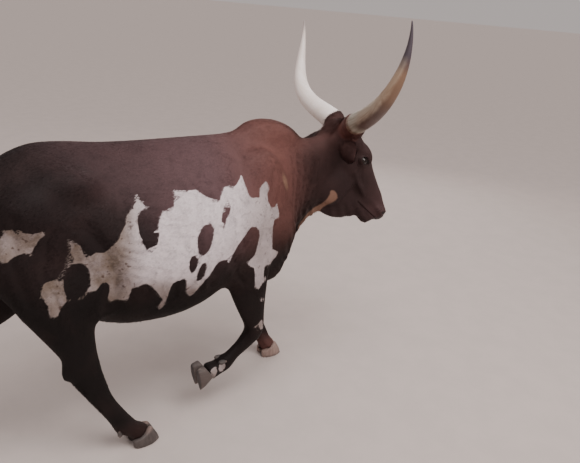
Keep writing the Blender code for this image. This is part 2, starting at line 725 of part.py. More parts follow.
def ear_object(name, side, frame):
    """A cupped leaf with a rolled root, open to the front and outward."""
    root = mirrored(EAR_ROOT, side)
    tip = mirrored(EAR_TIP, side)
    ahead = (tip - root).normalized()
    facing = Vector((0.75, side * 0.25, 0.45))
    facing = (facing - ahead * facing.dot(ahead)).normalized()
    across = ahead.cross(facing).normalized()
    length = (tip - root).length
    rings = []
    steps = 9
    arc = 7
    for k in range(-1, steps + 1):
        t = k / steps
        spread = max(0.0, t)
        width = EAR_WIDTH * (math.sin(math.pi * min(1.0, 0.16 + spread * 0.80) ** 1.0) ** 0.75)
        width = max(width * (1 - spread**6), 0.004)
        curl = math.radians(150 - 95 * min(1.0, spread * 1.8))
        depth = 0.0075 * (1 - 0.55 * spread)
        if k < 0:
            width *= 0.9
        centre = root + ahead * length * t + facing * 0.012 * math.sin(math.pi * spread)
        outer = []
        inner = []
        for i in range(arc):
            a = curl * (i / (arc - 1) * 2 - 1)
            radius = width / math.sin(min(curl, math.pi / 2))
            y = math.sin(a) * radius
            x = -math.cos(a) * radius + radius * math.cos(min(curl, math.pi / 2))
            outer.append(centre + across * y + facing * x)
            shrink = max(radius - depth, radius * 0.35)
            y = math.sin(a) * shrink
            x = -math.cos(a) * shrink + radius * math.cos(min(curl, math.pi / 2))
            inner.append(centre + across * y + facing * x)
        rings.append(outer + inner[::-1])
    bm = bmesh.new()
    bridge(bm, [[frame @ p for p in ring] for ring in rings])
    bmesh.ops.triangulate(bm, faces=bm.faces)
    return new_object(name, bm)


def mouth_cutter(frame):
    """A thin horseshoe blade that follows the lips and is thickest outside."""
    bm = bmesh.new()
    rows = []
    steps = 18
    for k in range(steps + 1):
        angle = math.radians(-118 + 236 * k / steps)
        c, s = math.cos(angle), math.sin(angle)
        row = []
        for reach_x, reach_y, half in ((0.086, 0.026, 0.0008), (0.150, 0.095, 0.0034)):
            x = 0.395 + c * reach_x
            y = s * reach_y
            z = -0.113 - 0.090 * max(0.0, 0.475 - x) ** 1.0 * 2.2
            row.append((Vector((x, y, z - half)), Vector((x, y, z + half))))
        rows.append([row[0][0], row[1][0], row[1][1], row[0][1]])
    bridge(bm, [[frame @ p for p in ring] for ring in rows])
    bmesh.ops.triangulate(bm, faces=bm.faces)
    return new_object("mouth_cutter", bm)


def almond_cutter(side, frame):
    """A prism with the outline of the open lids, pointed at both corners."""
    centre = mirrored(EYE_AT, side)
    look = mirrored(EYE_LOOK, side).normalized()
    along = Vector((1, 0, 0))
    along = (along - look * along.dot(look)).normalized()
    over = look.cross(along).normalized()
    if over.z < 0:
        over = -over
    outline = []
    for k in range(20):
        a = math.tau * k / 20
        x = 0.0200 * math.cos(a)
        lift = 0.0120 if math.sin(a) > 0 else 0.0100
        y = lift * math.copysign(abs(math.sin(a)) ** 1.25, math.sin(a)) + 0.0008
        outline.append(along * x + over * y)
    bm = bmesh.new()
    rings = []
    for reach, grow in ((0.004, 0.9), (0.060, 1.35)):
        rings.append([frame @ (centre + look * reach + p * grow) for p in outline])
    bridge(bm, rings)
    return new_object("almond_cutter", bm)


def ball(centre, radius, frame, segments=14):
    return egg_form(centre, (radius, radius, radius), frame=frame, segments=segments)


def carve_head(head, frame):
    boolean(head, mouth_cutter(frame))
    for side in (-1, 1):
        eye = mirrored(EYE_AT, side)
        boolean(head, ball(eye, EYE_RADIUS + LID, frame, 20), "UNION")
        boolean(head, ball(eye, EYE_RADIUS + GAP * 1.6, frame))
        boolean(head, almond_cutter(side, frame))
        comma = [bone._replace(y=bone.y * side) for bone in NOSTRIL]
        boolean(head, path_form(comma, sides=9, steps=2, power=2.0, frame=frame))
    return keep_largest(head)


def switch_object(name, start):
    """Tapered flat locks around a core, fused into one body."""
    random.seed(11)
    core = []
    bones = (
        Bone(start.x, start.y, start.z, 0.0135, 0.0135, 0.0135),
        Bone(start.x - 0.004, start.y + 0.002, start.z - 0.06, 0.020, 0.020, 0.019),
        Bone(start.x - 0.007, start.y + 0.004, start.z - 0.14, 0.024, 0.024, 0.023),
        Bone(start.x - 0.008, start.y + 0.005, start.z - 0.22, 0.014, 0.014, 0.014),
        Bone(start.x - 0.008, start.y + 0.005, start.z - 0.27, 0.004, 0.004, 0.004),
    )
    body = path_form(bones, sides=10, steps=2)
    for k in range(SWITCH_LOCKS):
        share = (k + 0.5) / SWITCH_LOCKS
        turn = k * 2.399963
        high = start.z - 0.020 - 0.150 * share
        radial = Vector((math.cos(turn), math.sin(turn), 0))
        across = Vector((-math.sin(turn), math.cos(turn), 0))
        length = SWITCH_LENGTH * random.uniform(0.40, 0.62) + 0.04 * share
        swell = random.uniform(0.020, 0.032)
        width = random.uniform(0.008, 0.012)
        rings = []
        for i in range(5):
            t = i / 4
            out = 0.008 + swell * math.sin(math.pi * min(1.0, 0.15 + 0.75 * t)) * (1 - 0.35 * t)
            place = Vector((start.x - 0.006, start.y + 0.004, high - length * t)) + radial * out
            half = width * (1 - 0.90 * t**1.6)
            thick = 0.0040 * (1 - 0.8 * t)
            rings.append([
                place + across * half,
                place + radial * thick,
                place - across * half,
                place - radial * thick,
            ])
        bm = bmesh.new()
        bridge(bm, rings)
        bmesh.ops.triangulate(bm, faces=bm.faces)
        core.append(new_object("lock", bm))
    boolean(body, core, "UNION")
    body.name = name
    return keep_largest(body)


def paint(obj, name, color, roughness):
    material = bpy.data.materials.get(name) or bpy.data.materials.new(name)
    material.use_nodes = True
    surface = material.node_tree.nodes["Principled BSDF"]
    surface.inputs["Base Color"].default_value = (*color, 1.0)
    surface.inputs["Roughness"].default_value = roughness
    obj.data.materials.clear()
    obj.data.materials.append(material)


def main():
    clear_scene()
    frame = head_frame()
    nodes = {}

    trunk = remeshed(merge(trunk_forms(), "trunk"), TRUNK_VOXEL, TRUNK_MELT)
    body = merge([trunk] + fine_forms() + head_forms(frame), "body")
    remeshed(body, BODY_VOXEL, HEAD_MELT)
    soft_places(body, frame)
    melt(body, BODY_MELT, "soft")
    apply_modifiers(body)
    keep_largest(body)
    decimated(body, EVEN_FACES)
    lock_head(body, frame)
    decimated(body, BODY_FACES, "locked")
    keep_largest(body)
    print("body", len(body.data.polygons))

    # Cut at the joints
    body = cut_joint(body, (0.800, -0.050, 1.085), (0.95, -0.30, 0.0), 0.60)
    body = cut_joint(body, (0.640, 0.000, 1.000), (0.93, 0.00, 0.30), 1.20)
    body = cut_joint(body, (0.450, 0.155, 0.600), (-0.25, -0.90, 1.0), 0.30)
    body = cut_joint(body, (0.366, -0.160, 0.600), (-0.25, 0.90, 1.0), 0.30)
    body = cut_joint(body, (-0.600, 0.157, 0.690), (0.61, -0.50, 0.79), 0.36)
    body = cut_joint(body, (-0.435, -0.180, 0.620), (0.30, 0.90, 1.0), 0.36)
    for foot in FEET:
        centre, normal = coronet(foot, GAP)
        boolean(body, plate(centre - normal * 0.05, normal, 0.16, 0.1))
    seeds = {
        "torso": (-0.05, 0.0, 0.90),
        "neck": (0.75, -0.02, 1.00),
        "head": tuple(frame @ Vector((0.22, 0, -0.10))),
        "foreleg_left": (0.56, 0.13, 0.36),
        "foreleg_right": (0.33, -0.15, 0.38),
        "hindleg_left": (-0.76, 0.15, 0.40),
        "hindleg_right": (-0.35, -0.19, 0.37),
    }
    nodes.update(split_by_seeds(body, seeds))
    for name in seeds:
        keep_largest(nodes[name])
    print("flesh", {n: len(nodes[n].data.polygons) for n in seeds})

    carve_head(nodes["head"], frame)
    shell = copied(nodes["head"], "shell", GAP)
    neck_shell = copied(nodes["neck"], "neck_shell", GAP)
    for side, word in ((-1, "right"), (1, "left")):
        horn = horn_object("horn_" + word, side, frame)
        boolean(horn, [copied(shell, "a")])
        boolean(horn, [copied(neck_shell, "b")])
        nodes["horn_" + word] = keep_largest(horn)
        ear = ear_object("ear_" + word, side, frame)
        boolean(ear, [copied(shell, "a")])
        boolean(ear, [copied(neck_shell, "b")])
        nodes["ear_" + word] = keep_largest(ear)
        eye = ball(mirrored(EYE_AT, side), EYE_RADIUS, frame)
        eye.name = "eye_" + word
        nodes[eye.name] = eye
    bpy.data.objects.remove(shell)
    bpy.data.objects.remove(neck_shell)

    for foot in FEET:
        for side, word in ((-1, "right"), (1, "left")):
            name = "claw_" + foot.name + "_" + word
            nodes[name] = claw_object(name, foot, side)
            limb, index, leg = LIMBS[foot.name]
            name = "dewclaw_" + foot.name + "_" + word
            dewclaw = dewclaw_object(name, limb, index, side)
            boolean(dewclaw, [copied(nodes[leg], "a", GAP)])
            nodes[name] = keep_largest(dewclaw)

    torso_shell = copied(nodes["torso"], "torso_shell", GAP)
    tail = path_form(TAIL, sides=12, steps=2)
    tail.name = "tail"
    boolean(tail, [copied(torso_shell, "a")])
    nodes["tail"] = keep_largest(tail)
    end = TAIL[-1]
    switch = switch_object("tail_switch", Vector((end.x, end.y, end.z + 0.006)))
    boolean(switch, [copied(nodes["tail"], "a", GAP)])
    nodes["tail_switch"] = keep_largest(switch)

    scrotum = merge([
        egg_form((-0.455, 0.000, 0.600), (0.040, 0.048, 0.070)),
        egg_form((-0.460, 0.022, 0.545), (0.044, 0.036, 0.062)),
        egg_form((-0.460, -0.022, 0.545), (0.044, 0.036, 0.062)),
    ], "scrotum")
    decimated(remeshed(scrotum, 0.006, 6), 260)
    boolean(scrotum, [copied(torso_shell, "a")])
    nodes["scrotum"] = keep_largest(scrotum)
    sheath = merge([
        egg_form((-0.100, 0.000, 0.520), (0.090, 0.022, 0.030), pitch(8)),
        egg_form((-0.040, 0.000, 0.505), (0.034, 0.020, 0.030), pitch(-20)),
    ], "sheath")
    decimated(remeshed(sheath, 0.005, 5), 220)
    boolean(sheath, [copied(torso_shell, "a")])
    nodes["sheath"] = keep_largest(sheath)
    bpy.data.objects.remove(torso_shell)

    looks = (
        ("eye", "wet eye", (0.02, 0.012, 0.01), 0.15),
        ("horn", "horn", (0.62, 0.52, 0.40), 0.45),
        ("claw", "hoof", (0.16, 0.12, 0.10), 0.55),
        ("dewclaw", "hoof", (0.16, 0.12, 0.10), 0.55),
        ("tail_switch", "switch hair", (0.04, 0.02, 0.02), 0.8),
    )
    total = 0
    for name, obj in nodes.items():
        obj.name = name
        obj.data.name = name
        chosen = ("hide", (0.16, 0.07, 0.05), 0.75)
        for key, label, color, roughness in looks:
            if name.startswith(key):
                chosen = (label, color, roughness)
        paint(obj, *chosen)
        bm = from_object(obj)
        bmesh.ops.triangulate(bm, faces=bm.faces)
        for vert in bm.verts:
            vert.co -= CENTRE
        bm.to_mesh(obj.data)
        bm.free()
        total += len(obj.data.polygons)
        print(name, len(obj.data.polygons))
    print("triangles", total)


main()
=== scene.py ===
"""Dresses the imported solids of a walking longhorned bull: skin, coat, horns, hooves, eyes.

Metres, +Z up, the bull faces +X. Markings of the right side are outlines in the picture's pixels,
thrown onto the hide along the camera's rays, and those of the left side are a changed copy.
"""

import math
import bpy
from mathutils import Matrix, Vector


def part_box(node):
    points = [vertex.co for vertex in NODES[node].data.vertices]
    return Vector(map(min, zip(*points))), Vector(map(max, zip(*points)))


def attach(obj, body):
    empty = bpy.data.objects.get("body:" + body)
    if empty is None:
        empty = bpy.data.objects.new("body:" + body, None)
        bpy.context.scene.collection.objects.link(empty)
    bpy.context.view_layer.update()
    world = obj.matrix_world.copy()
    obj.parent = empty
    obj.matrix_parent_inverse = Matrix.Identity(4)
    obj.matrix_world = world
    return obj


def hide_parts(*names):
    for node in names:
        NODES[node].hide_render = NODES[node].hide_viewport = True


bl_info = {
    "name": "Longhorned bull",
    "version": (1, 0, 0),
    "blender": (4, 5, 0),
    "location": "3D View > Sidebar > Bull",
    "description": "Skin, coat, horns, hooves and eyes around the solids of a walking bull",
    "category": "Object",
}

from collections import namedtuple

import bmesh
import bpy
import numpy as np
from mathutils import Matrix, Vector
from mathutils.kdtree import KDTree

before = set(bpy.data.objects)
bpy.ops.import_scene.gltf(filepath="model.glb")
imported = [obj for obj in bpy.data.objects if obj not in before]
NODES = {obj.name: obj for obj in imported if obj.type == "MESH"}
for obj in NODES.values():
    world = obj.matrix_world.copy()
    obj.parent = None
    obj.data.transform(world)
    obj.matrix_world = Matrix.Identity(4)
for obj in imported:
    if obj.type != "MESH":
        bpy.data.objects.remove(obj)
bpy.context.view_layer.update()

# The solids were moved by this much to centre them, and the sizes below are from before that
CENTRE = np.array((0.102, -0.028, 0.0))

# The camera that took the picture, fitted to the bull
IMAGE_WIDTH = 580
IMAGE_HEIGHT = 463
FOCAL_PIXELS = 567.87
CAMERA_AT = Vector((-0.8849, -2.0653, 1.7857))
CAMERA_YAW = 0.6483
CAMERA_PITCH = 0.3775
CAMERA_ROLL = 0.0899
SENSOR = 36.0

# Head: where the poll is, how far the face turns right, drops and leans
POLL_AT = Vector((0.898, -0.050, 1.273))
HEAD_TURN = math.radians(17.7)
HEAD_DROP = math.radians(52.1)
HEAD_LEAN = math.radians(-4.7)
EYE_RADIUS = 0.0205
EYE_AT = np.array((0.156, -0.0925, -0.028))
EYE_LOOK = np.array((0.16, -0.96, 0.16))
HORN_PATH = (
    (-0.012, -0.097, 0.011),
    (-0.104, -0.250, 0.003),
    (-0.134, -0.500, -0.023),
    (-0.224, -0.516, 0.181),
    (-0.387, -0.511, 0.273),
)
HORN_RADII = (0.052, 0.049, 0.045, 0.042, 0.038, 0.033, 0.027, 0.019, 0.010, 0.0025)
SKIRT_REACH = {1: 0.020, -1: 0.120}
EAR_ROOT = np.array((0.040, -0.088, -0.062))
EAR_TIP = np.array((0.035, -0.285, -0.120))

# Tests for the head look only ahead of this
HEAD_FROM = 0.72

FLESH = (
    "torso", "neck", "head", "foreleg_left", "foreleg_right", "hindleg_left", "hindleg_right",
    "tail", "ear_left", "ear_right", "scrotum", "sheath",
)
FEET = ("fore_left", "fore_right", "hind_left", "hind_right")
SIDES = (("left", 1), ("right", -1))
SOLE_FACES = np.array((-0.97, 0.0, 0.24))
# Kind, voxel size and rounds of smoothing
CLAWS = (("claw", 0.0026, 20), ("dewclaw", 0.0016, 6))
HOOF_PALE = {"fore_left": 0.85, "fore_right": 0.12, "hind_left": 0.05, "hind_right": 0.05}

# Coat: where along a tuft its colour is looked up, and half the size of its patch of the UV map
TUFT_MIDDLE = 0.45
TUFT_PATCH = 0.0015

# Skin
SWELL = 0.0004
EAR_SWELL = 0.0012
SKIN_VOXEL = 0.0042
SKIN_FACES = 140000
SEED = 7

# Hair outside the coat
LASHES = 90
SWITCH_STRANDS = 5200

# Stage
FLOOR_RADIUS = 600
FAR_CLIP = 1500
SUN_ANGLE = math.radians(36)
LAMPS_AIM = Vector((0.25, 0.0, 0.8))


# Placing

def head_matrix():
    """X runs down the face from the poll, Y to the animal's left, Z out of the forehead."""
    turn = Matrix.Rotation(-HEAD_TURN, 4, "Z") @ Matrix.Rotation(HEAD_DROP, 4, "Y")
    return Matrix.Translation(POLL_AT) @ turn @ Matrix.Rotation(HEAD_LEAN, 4, "X")


HEAD = np.array(head_matrix())
HEAD_BACK = np.linalg.inv(HEAD)


def in_head(points):
    """Points of the body, in the head's frame."""
    return points @ HEAD_BACK[:3, :3].T + HEAD_BACK[:3, 3]


def from_head(points):
    return np.asarray(points) @ HEAD[:3, :3].T + HEAD[:3, 3]


def camera_axes():
    forward = Vector((
        math.sin(CAMERA_YAW) * math.cos(CAMERA_PITCH),
        math.cos(CAMERA_YAW) * math.cos(CAMERA_PITCH),
        -math.sin(CAMERA_PITCH),
    ))
    right = Vector((math.cos(CAMERA_YAW), -math.sin(CAMERA_YAW), 0))
    up = right.cross(forward)
    c, s = math.cos(CAMERA_ROLL), math.sin(CAMERA_ROLL)
    return c * right + s * up, c * up - s * right, forward


def in_picture(points):
    """Pixel across, pixel down and metres a pixel spans, for points of the body."""
    right, up, forward = (np.array(a) for a in camera_axes())
    d = points - np.array(CAMERA_AT)
    far = d @ forward
    across = IMAGE_WIDTH / 2 + FOCAL_PIXELS * (d @ right) / far
    down = IMAGE_HEIGHT / 2 - FOCAL_PIXELS * (d @ up) / far
    return np.stack((across, down), 1), far / FOCAL_PIXELS


def ramp(values, low, high):
    """0 at low, 1 at high and smooth between."""
    t = np.clip((values - low) / (high - low), 0, 1)
    return t * t * (3 - 2 * t)


def unit(vectors):
    return vectors / np.maximum(np.linalg.norm(vectors, axis=1, keepdims=True), 1e-9)


# Markings, in the picture's pixels

FLANK = (
    (69, 240), (74, 242), (80, 246), (83, 252), (87, 256), (91, 257), (95, 254), (99, 251),
    (101, 255), (105, 254), (109, 249), (114, 246), (119, 240), (122, 232), (126, 228),
    (127, 216), (130, 212), (134, 207), (136, 196), (137, 193), (139, 199), (143, 204),
    (147, 208.5), (140, 210), (138, 213), (137, 222), (139, 233), (142, 243), (146, 249),
    (150, 254), (154, 251), (158, 247), (159, 240), (160, 233), (159, 225), (161, 217),
    (163, 211), (170, 211.5), (174, 209), (175, 204), (175, 196), (174, 190), (176, 189.5),
    (180, 192), (187, 192), (192, 190), (196, 190), (200, 193), (206, 197), (212, 199),
    (216, 204), (219, 204), (221, 198), (223, 192), (224, 187), (227, 187), (232, 189),
    (236, 186), (239, 181), (241, 175), (243, 180), (246, 188), (249, 196), (252, 198.5),
    (256, 198), (260, 198.5), (260, 192), (261, 187), (264, 184), (266, 181), (268, 185),
    (270, 188), (267, 192), (268, 202), (271, 208), (274, 209.5), (277, 204), (278, 210),
    (279.5, 217), (276, 218), (274, 219), (272.5, 228), (272, 240), (272, 250), (275, 250.5),
    (278, 252), (276, 256), (272, 260), (270, 264), (266, 264), (264, 268), (263, 276),
    (266, 278.5), (263, 282), (258, 289), (255, 287), (255.5, 278), (255.5, 270), (254, 267),
    (250, 266), (247, 262), (251, 260), (256, 255), (257, 250), (258, 245), (260, 238),
    (260, 231), (257, 227), (253, 225.5), (250, 228), (245, 235), (240, 242), (235, 249),
    (232, 257), (229, 263), (227, 259), (222, 260), (219, 261), (215, 266), (211, 273),
    (206, 279), (200, 286), (194, 293), (190, 296), (187, 293), (187, 280), (185, 277.5),
    (180, 280), (174, 281), (170, 288), (167, 297), (165, 304), (160, 309), (158, 307),
    (163, 300), (160, 295), (156, 290), (152, 286), (148, 283), (144, 283), (139, 286),
    (134, 287), (131, 289), (129, 298), (128, 300), (122, 300), (115, 299), (111, 301),
    (108, 299), (110, 291), (110, 285), (107, 282), (103, 282), (100, 285), (97, 289),
    (92, 292), (86, 295), (82, 298), (75, 299), (68, 300), (64, 304), (60, 308), (59, 314),
    (57, 317), (52, 317), (49, 314), (49, 306), (46, 300), (41, 297), (42, 290), (44, 284),
    (50, 281.5), (57, 280), (61, 275.5), (64.3, 270), (66.3, 264), (68, 258), (68.5, 250),
)
THIGH = (
    (-24, 246), (-16, 236), (-8, 232), (0, 231), (10, 230), (20, 230), (23, 233), (30, 234),
    (37, 234.5), (39, 232), (45, 231.5), (48, 233), (43, 237), (39, 240), (35, 246),
    (32.5, 252), (32, 257), (29, 254), (24, 253), (19, 255), (12, 258), (9, 262), (5, 264),
    (0, 261), (-8, 262), (-18, 256),
)
UPPER_SPOT = (
    (228, 200), (231, 207), (230, 214), (227, 218), (225, 225), (223, 231), (221.5, 227),
    (222, 217), (224, 208),
)
MIDDLE_SPOT = (
    (210, 222), (214, 229), (213, 238), (211, 247), (207, 253), (203, 256), (200, 253),
    (198, 245), (198, 238), (201, 230), (205, 225),
)
LOWER_SPOT = (
    (197, 253.5), (198.5, 258), (197.5, 266), (194, 272), (192, 273), (189.5, 269),
    (190, 260), (193, 255),
)
LEANING_SPOT = (
    (205, 261), (207, 265), (205.5, 273), (202, 279), (199, 281.5), (196.5, 280), (198, 273),
    (201, 266),
)
THROAT_PATCH = (
    (332, 190), (334.5, 191), (336.5, 193.5), (337.5, 197.5), (335.5, 200.5), (331.5, 202.8),
    (327.5, 204.3), (324, 206.3), (321, 209), (319.5, 213), (316, 217), (311, 221), (307, 226),
    (303, 231), (299, 232), (298, 227.5), (300.5, 222), (305, 216.5), (309, 211.8),
    (313.5, 208), (318.5, 205.3), (322.5, 203), (326.5, 199.5), (329.3, 195.5), (330.3, 191.7),
)
KNEE_PATCH = (
    (262, 319.3), (263.3, 322), (262.8, 328.5), (258.5, 330.3), (254.5, 329), (253.6, 326.8),
    (257.5, 325), (260, 321.5),
)
HIND_SPOT = (
    (71.5, 265.3), (77, 262.8), (84.5, 263.3), (88, 268.5), (90.5, 276.5), (90.2, 284),
    (88, 290), (83.5, 295), (78, 298.7), (72, 299.7), (67.2, 297), (64.3, 291), (63.3, 284),
    (63.6, 277), (66.8, 271),
)

# Pixels by which the spots and the white are drawn larger than their outlines
SPOT_SPREAD = 0.2
WHITE_SPREAD = 0.4

# Metres from a patch's edge past which its mark no longer grows
MARK_REACH = 0.04

Blob = namedtuple("Blob", "across down wide high tilt")
NECK_FLECK = Blob(285.3, 181.5, 2.0, 7.0, -12)
ARM_FLECK = Blob(261.8, 299, 2.4, 2.8, 0)
PASTERN_FLECKS = (Blob(222, 366.5, 3.2, 5.2, 20), Blob(213.6, 372.5, 3.2, 5.6, 10))
LEFT_SPOTS = (
    Blob(116, 264, 12, 17, 28), Blob(171, 236, 7, 19, -14), Blob(196, 214, 4, 10, 24),
    Blob(206, 264, 6, 13, 38), Blob(238, 224, 6, 19, 16), Blob(93, 273, 6, 9, 12),
    Blob(147, 274, 4, 8, 34), Blob(183, 268, 3, 6, 10),
)


def outline_distance(places, outline):
    """How far inside an outline each place is, negative outside."""
    corners = np.array(outline, float)
    ends = np.roll(corners, -1, 0)
    nearest = np.full(len(places), 1e9)
    inside = np.zeros(len(places), bool)
    for a, b in zip(corners, ends):
        side = b - a
        share = np.clip(((places - a) @ side) / (side @ side), 0, 1)
        nearest = np.minimum(nearest, np.hypot(*(places - a - share[:, None] * side).T))
        if a[1] != b[1]:
            level = (a[1] > places[:, 1]) != (b[1] > places[:, 1])
            inside ^= level & (
                places[:, 0] < (b[0] - a[0]) * (places[:, 1] - a[1]) / (b[1] - a[1]) + a[0])
    return np.where(inside, nearest, -nearest)


def blob_distance(places, blob):
    """How far inside a tilted ellipse each place is, near its edge."""
    turn = math.radians(blob.tilt)
    c, s = math.cos(turn), math.sin(turn)
    d = places - np.array((blob.across, blob.down))
    x = (d[:, 0] * c + d[:, 1] * s) / blob.wide
    y = (-d[:, 0] * s + d[:, 1] * c) / blob.high
    round_about = np.arctan2(y, x)
    uneven = 1 + 0.07 * np.sin(2 * round_about + blob.across) + 0.05 * np.sin(5 * round_about)
    return (1 - np.hypot(x, y) * uneven) * min(blob.wide, blob.high)


def right_patches(places):
    white = outline_distance(places, FLANK) + WHITE_SPREAD
    for spot in (UPPER_SPOT, MIDDLE_SPOT, LOWER_SPOT, LEANING_SPOT, HIND_SPOT):
        white = np.minimum(white, -outline_distance(places, spot) - SPOT_SPREAD)
    white = np.maximum(white, outline_distance(places, THIGH))
    for fleck in (ARM_FLECK, *PASTERN_FLECKS):
        white = np.maximum(white, blob_distance(places, fleck))
    return np.maximum(white, outline_distance(places, KNEE_PATCH))


def left_patches(places):
    """The left side's patches: the same torn kind of edge, drawn out and with other spots."""
    bent = places.copy()
    bent[:, 0] = 118 + (places[:, 0] - 130) * 0.84 + 5 * np.sin(places[:, 1] / 17 + 1.3)
    bent[:, 1] = 248 + (places[:, 1] - 246) * 1.05 + 6 * np.sin(places[:, 0] / 23 + 0.4)
    white = outline_distance(bent, FLANK)
    for spot in LEFT_SPOTS:
        white = np.minimum(white, -blob_distance(bent, spot))
    haunch = outline_distance(bent * 0.9 + np.array((12, 18)), THIGH)
    return np.maximum(white, haunch)


def markings(points, normals):
    """For points of the body: metres inside the white, share of tan, tan patch, and tone, which
    carries painted light and shade.
    """
    seen, scale = in_picture(points)
    toward = unit(np.array(CAMERA_AT) - points)
    facing = np.sum(toward * normals, 1)
    flipped = points * np.array((1, -1, 1))
    beyond, far_scale = in_picture(flipped)
    far_facing = np.sum(unit(np.array(CAMERA_AT) - flipped) * normals * np.array((1, -1, 1)), 1)
    near_side = points[:, 1] < np.where(points[:, 0] > 0.55, 0.03, 0.0)
    behind = ramp(-normals[:, 0], 0.50, 0.80) * 0.10
    near = np.minimum(right_patches(seen) * scale, facing * 0.10) - behind
    head = in_head(points)
    on_head = (points[:, 0] > 0.80) & (points[:, 2] > 0.85)
    far = np.minimum(left_patches(beyond) * far_scale, far_facing * 0.10) - behind
    white = np.where(near_side, near, far)
    white = np.where(on_head, -MARK_REACH, white)
    brown = np.where(near_side, seen[:, 0], beyond[:, 0] - 12)
    tan = 1 - ramp(brown, 118, 152)
    low = np.where(near_side, seen[:, 1], beyond[:, 1])
    tan = np.maximum(tan, 0.8 * ramp(low, 272, 292))
    tan = np.maximum(tan, 0.50 * ramp(brown, 232, 262))
    patch = np.maximum(outline_distance(seen, THROAT_PATCH), blob_distance(seen, NECK_FLECK))
    patch = np.where(facing > -0.15, patch, -9) * scale
    patch = np.where((points[:, 1] < 0.03) | (np.abs(head[:, 1]) < 0.045), patch, -MARK_REACH)
    tone_and_painted_light, warm = coat_tone_and_painted_light(points, head)
    return white, tan, patch, tone_and_painted_light, warm


def coat_tone_and_painted_light(points, head):
    """Tone: 1 on hump and shoulder, near 0 on the blackish rump, belly and legs, partly the coat's
    own colour and partly painted light: lighter on top as if lit from above, painted shade low down,
    towards the rear and round the far horn's root. Warm: redness.
    """
    # Darker towards the rear, partly the coat's own colour and partly painted shade
    slant = points[:, 0] + 1.28 * (points[:, 2] - 1.24)
    rear = 1 - 0.42 * ramp(slant, -0.54, -0.28) - 0.58 * ramp(points[:, 0], -0.25, 0.16)
    # Lighter on top and near black low down: partly the coat's own colour, partly painted light from
    # above and painted shade below
    tone_and_painted_light = (1 - 0.90 * rear) * (0.05 + 0.95 * ramp(points[:, 2], 0.68, 1.06))
    # Darker on the side of the neck, its crest kept lighter as painted light from above
    side_neck = ramp(points[:, 0], 0.52, 0.72) * (1 - 0.62 * ramp(points[:, 2], 1.12, 1.25))
    tone_and_painted_light *= 1 - 0.74 * side_neck
    on_head = ramp(points[:, 0], 0.64, 0.88) * ramp(head[:, 0], -0.10, 0.08)
    nose = ramp(head[:, 0], 0.32, 0.47) * ramp(head[:, 2], -0.16, -0.09)
    tone_and_painted_light = tone_and_painted_light * (1 - on_head) + (0.25 + 0.30 * nose) * on_head
    warm = ramp(points[:, 0], 0.12, 0.50) * (1 - 0.35 * side_neck) * (1 - 0.6 * on_head)
    near_skirt = skirt_share(points, -1)[0]
    tone_and_painted_light = tone_and_painted_light + 0.38 * near_skirt
    # Painted shade: the hide round the far horn's root is darkened
    tone_and_painted_light = tone_and_painted_light * (1 - 0.5 * skirt_share(points, 1)[0])
    foot = 1 - ramp(points[:, 2], 0.08, 0.17)
    tone_and_painted_light = np.maximum(tone_and_painted_light, np.where(points[:, 0] > 0.5, 0.60, 0.12) * foot)
    return tone_and_painted_light, np.maximum(warm, np.maximum(foot, near_skirt))


# Lie of the coat

def lie_of(points, normals):
    """Unit directions in which the hair points."""
    head = in_head(points)
    lie = np.tile(np.array((-1.0, 0.0, -0.42)), (len(points), 1))
    low = 1 - ramp(points[:, 2], 0.62, 0.86)
    limb = low * (np.abs(points[:, 1]) > 0.07)
    lie = lie * (1 - limb[:, None]) + np.array((-0.10, 0, -1.0)) * limb[:, None]
    tail = (points[:, 0] < -0.70) & (np.abs(points[:, 1]) < 0.06)
    lie[tail] = (-0.1, 0, -1.0)
    lifted = (points[:, 1] < 0) & (points[:, 0] > 0.04) & (points[:, 0] < 0.34)
    lie[lifted & (points[:, 2] < 0.42)] = (-0.78, 0, -0.62)
    neck = ramp(points[:, 0], 0.55, 0.72)
    lie = lie * (1 - neck[:, None]) + np.array((-0.62, 0, -0.78)) * neck[:, None]
    face = ramp(head[:, 0], 0.05, 0.14) * (points[:, 0] > HEAD_FROM) * (head[:, 2] > -0.34)
    down = np.array((0.95, 0.0, -0.25)) @ HEAD[:3, :3].T
    lie = lie * (1 - face[:, None]) + down * face[:, None]
    for _, side in SIDES:
        flip = np.array((1, -side, 1))
        root, tip = EAR_ROOT * flip, EAR_TIP * flip
        out = side * head[:, 1]
        ear = ramp(out, 0.115, 0.140) * (np.abs(head[:, 0] - 0.04) < 0.10) * (head[:, 2] < 0.02)
        along = unit((tip - root)[None])[0] @ HEAD[:3, :3].T
        lie = lie * (1 - ear[:, None]) + along * ear[:, None]
    for _, side in SIDES:
        share, out = skirt_share(points, side)
        lie = lie * (1 - share[:, None]) + out * share[:, None]
    lie = lie - np.sum(lie * normals, 1)[:, None] * normals
    return unit(lie)


def skirt_share(points, side):
    """1 on the hide that climbs a horn's root, and the horn's direction there."""
    spine = horn_line(side)[0]
    last = int(np.searchsorted(horn_line(side)[1], SKIRT_REACH[side])) + 4
    away = path_distance(points, spine[:last:3])
    out = unit((spine[9] - spine[0])[None])[0]
    beyond = ramp((points - spine[3]) @ out, -0.030, -0.004)
    return (1 - ramp(away, 0.064, 0.078)) * beyond, out


# Meshes

def link(name, mesh):
    piece = bpy.data.objects.new(name, mesh)
    bpy.context.scene.collection.objects.link(piece)
    return piece


def new_piece(name, bm):
    mesh = bpy.data.meshes.new(name)
    bm.to_mesh(mesh)
    bm.free()
    return link(name, mesh)


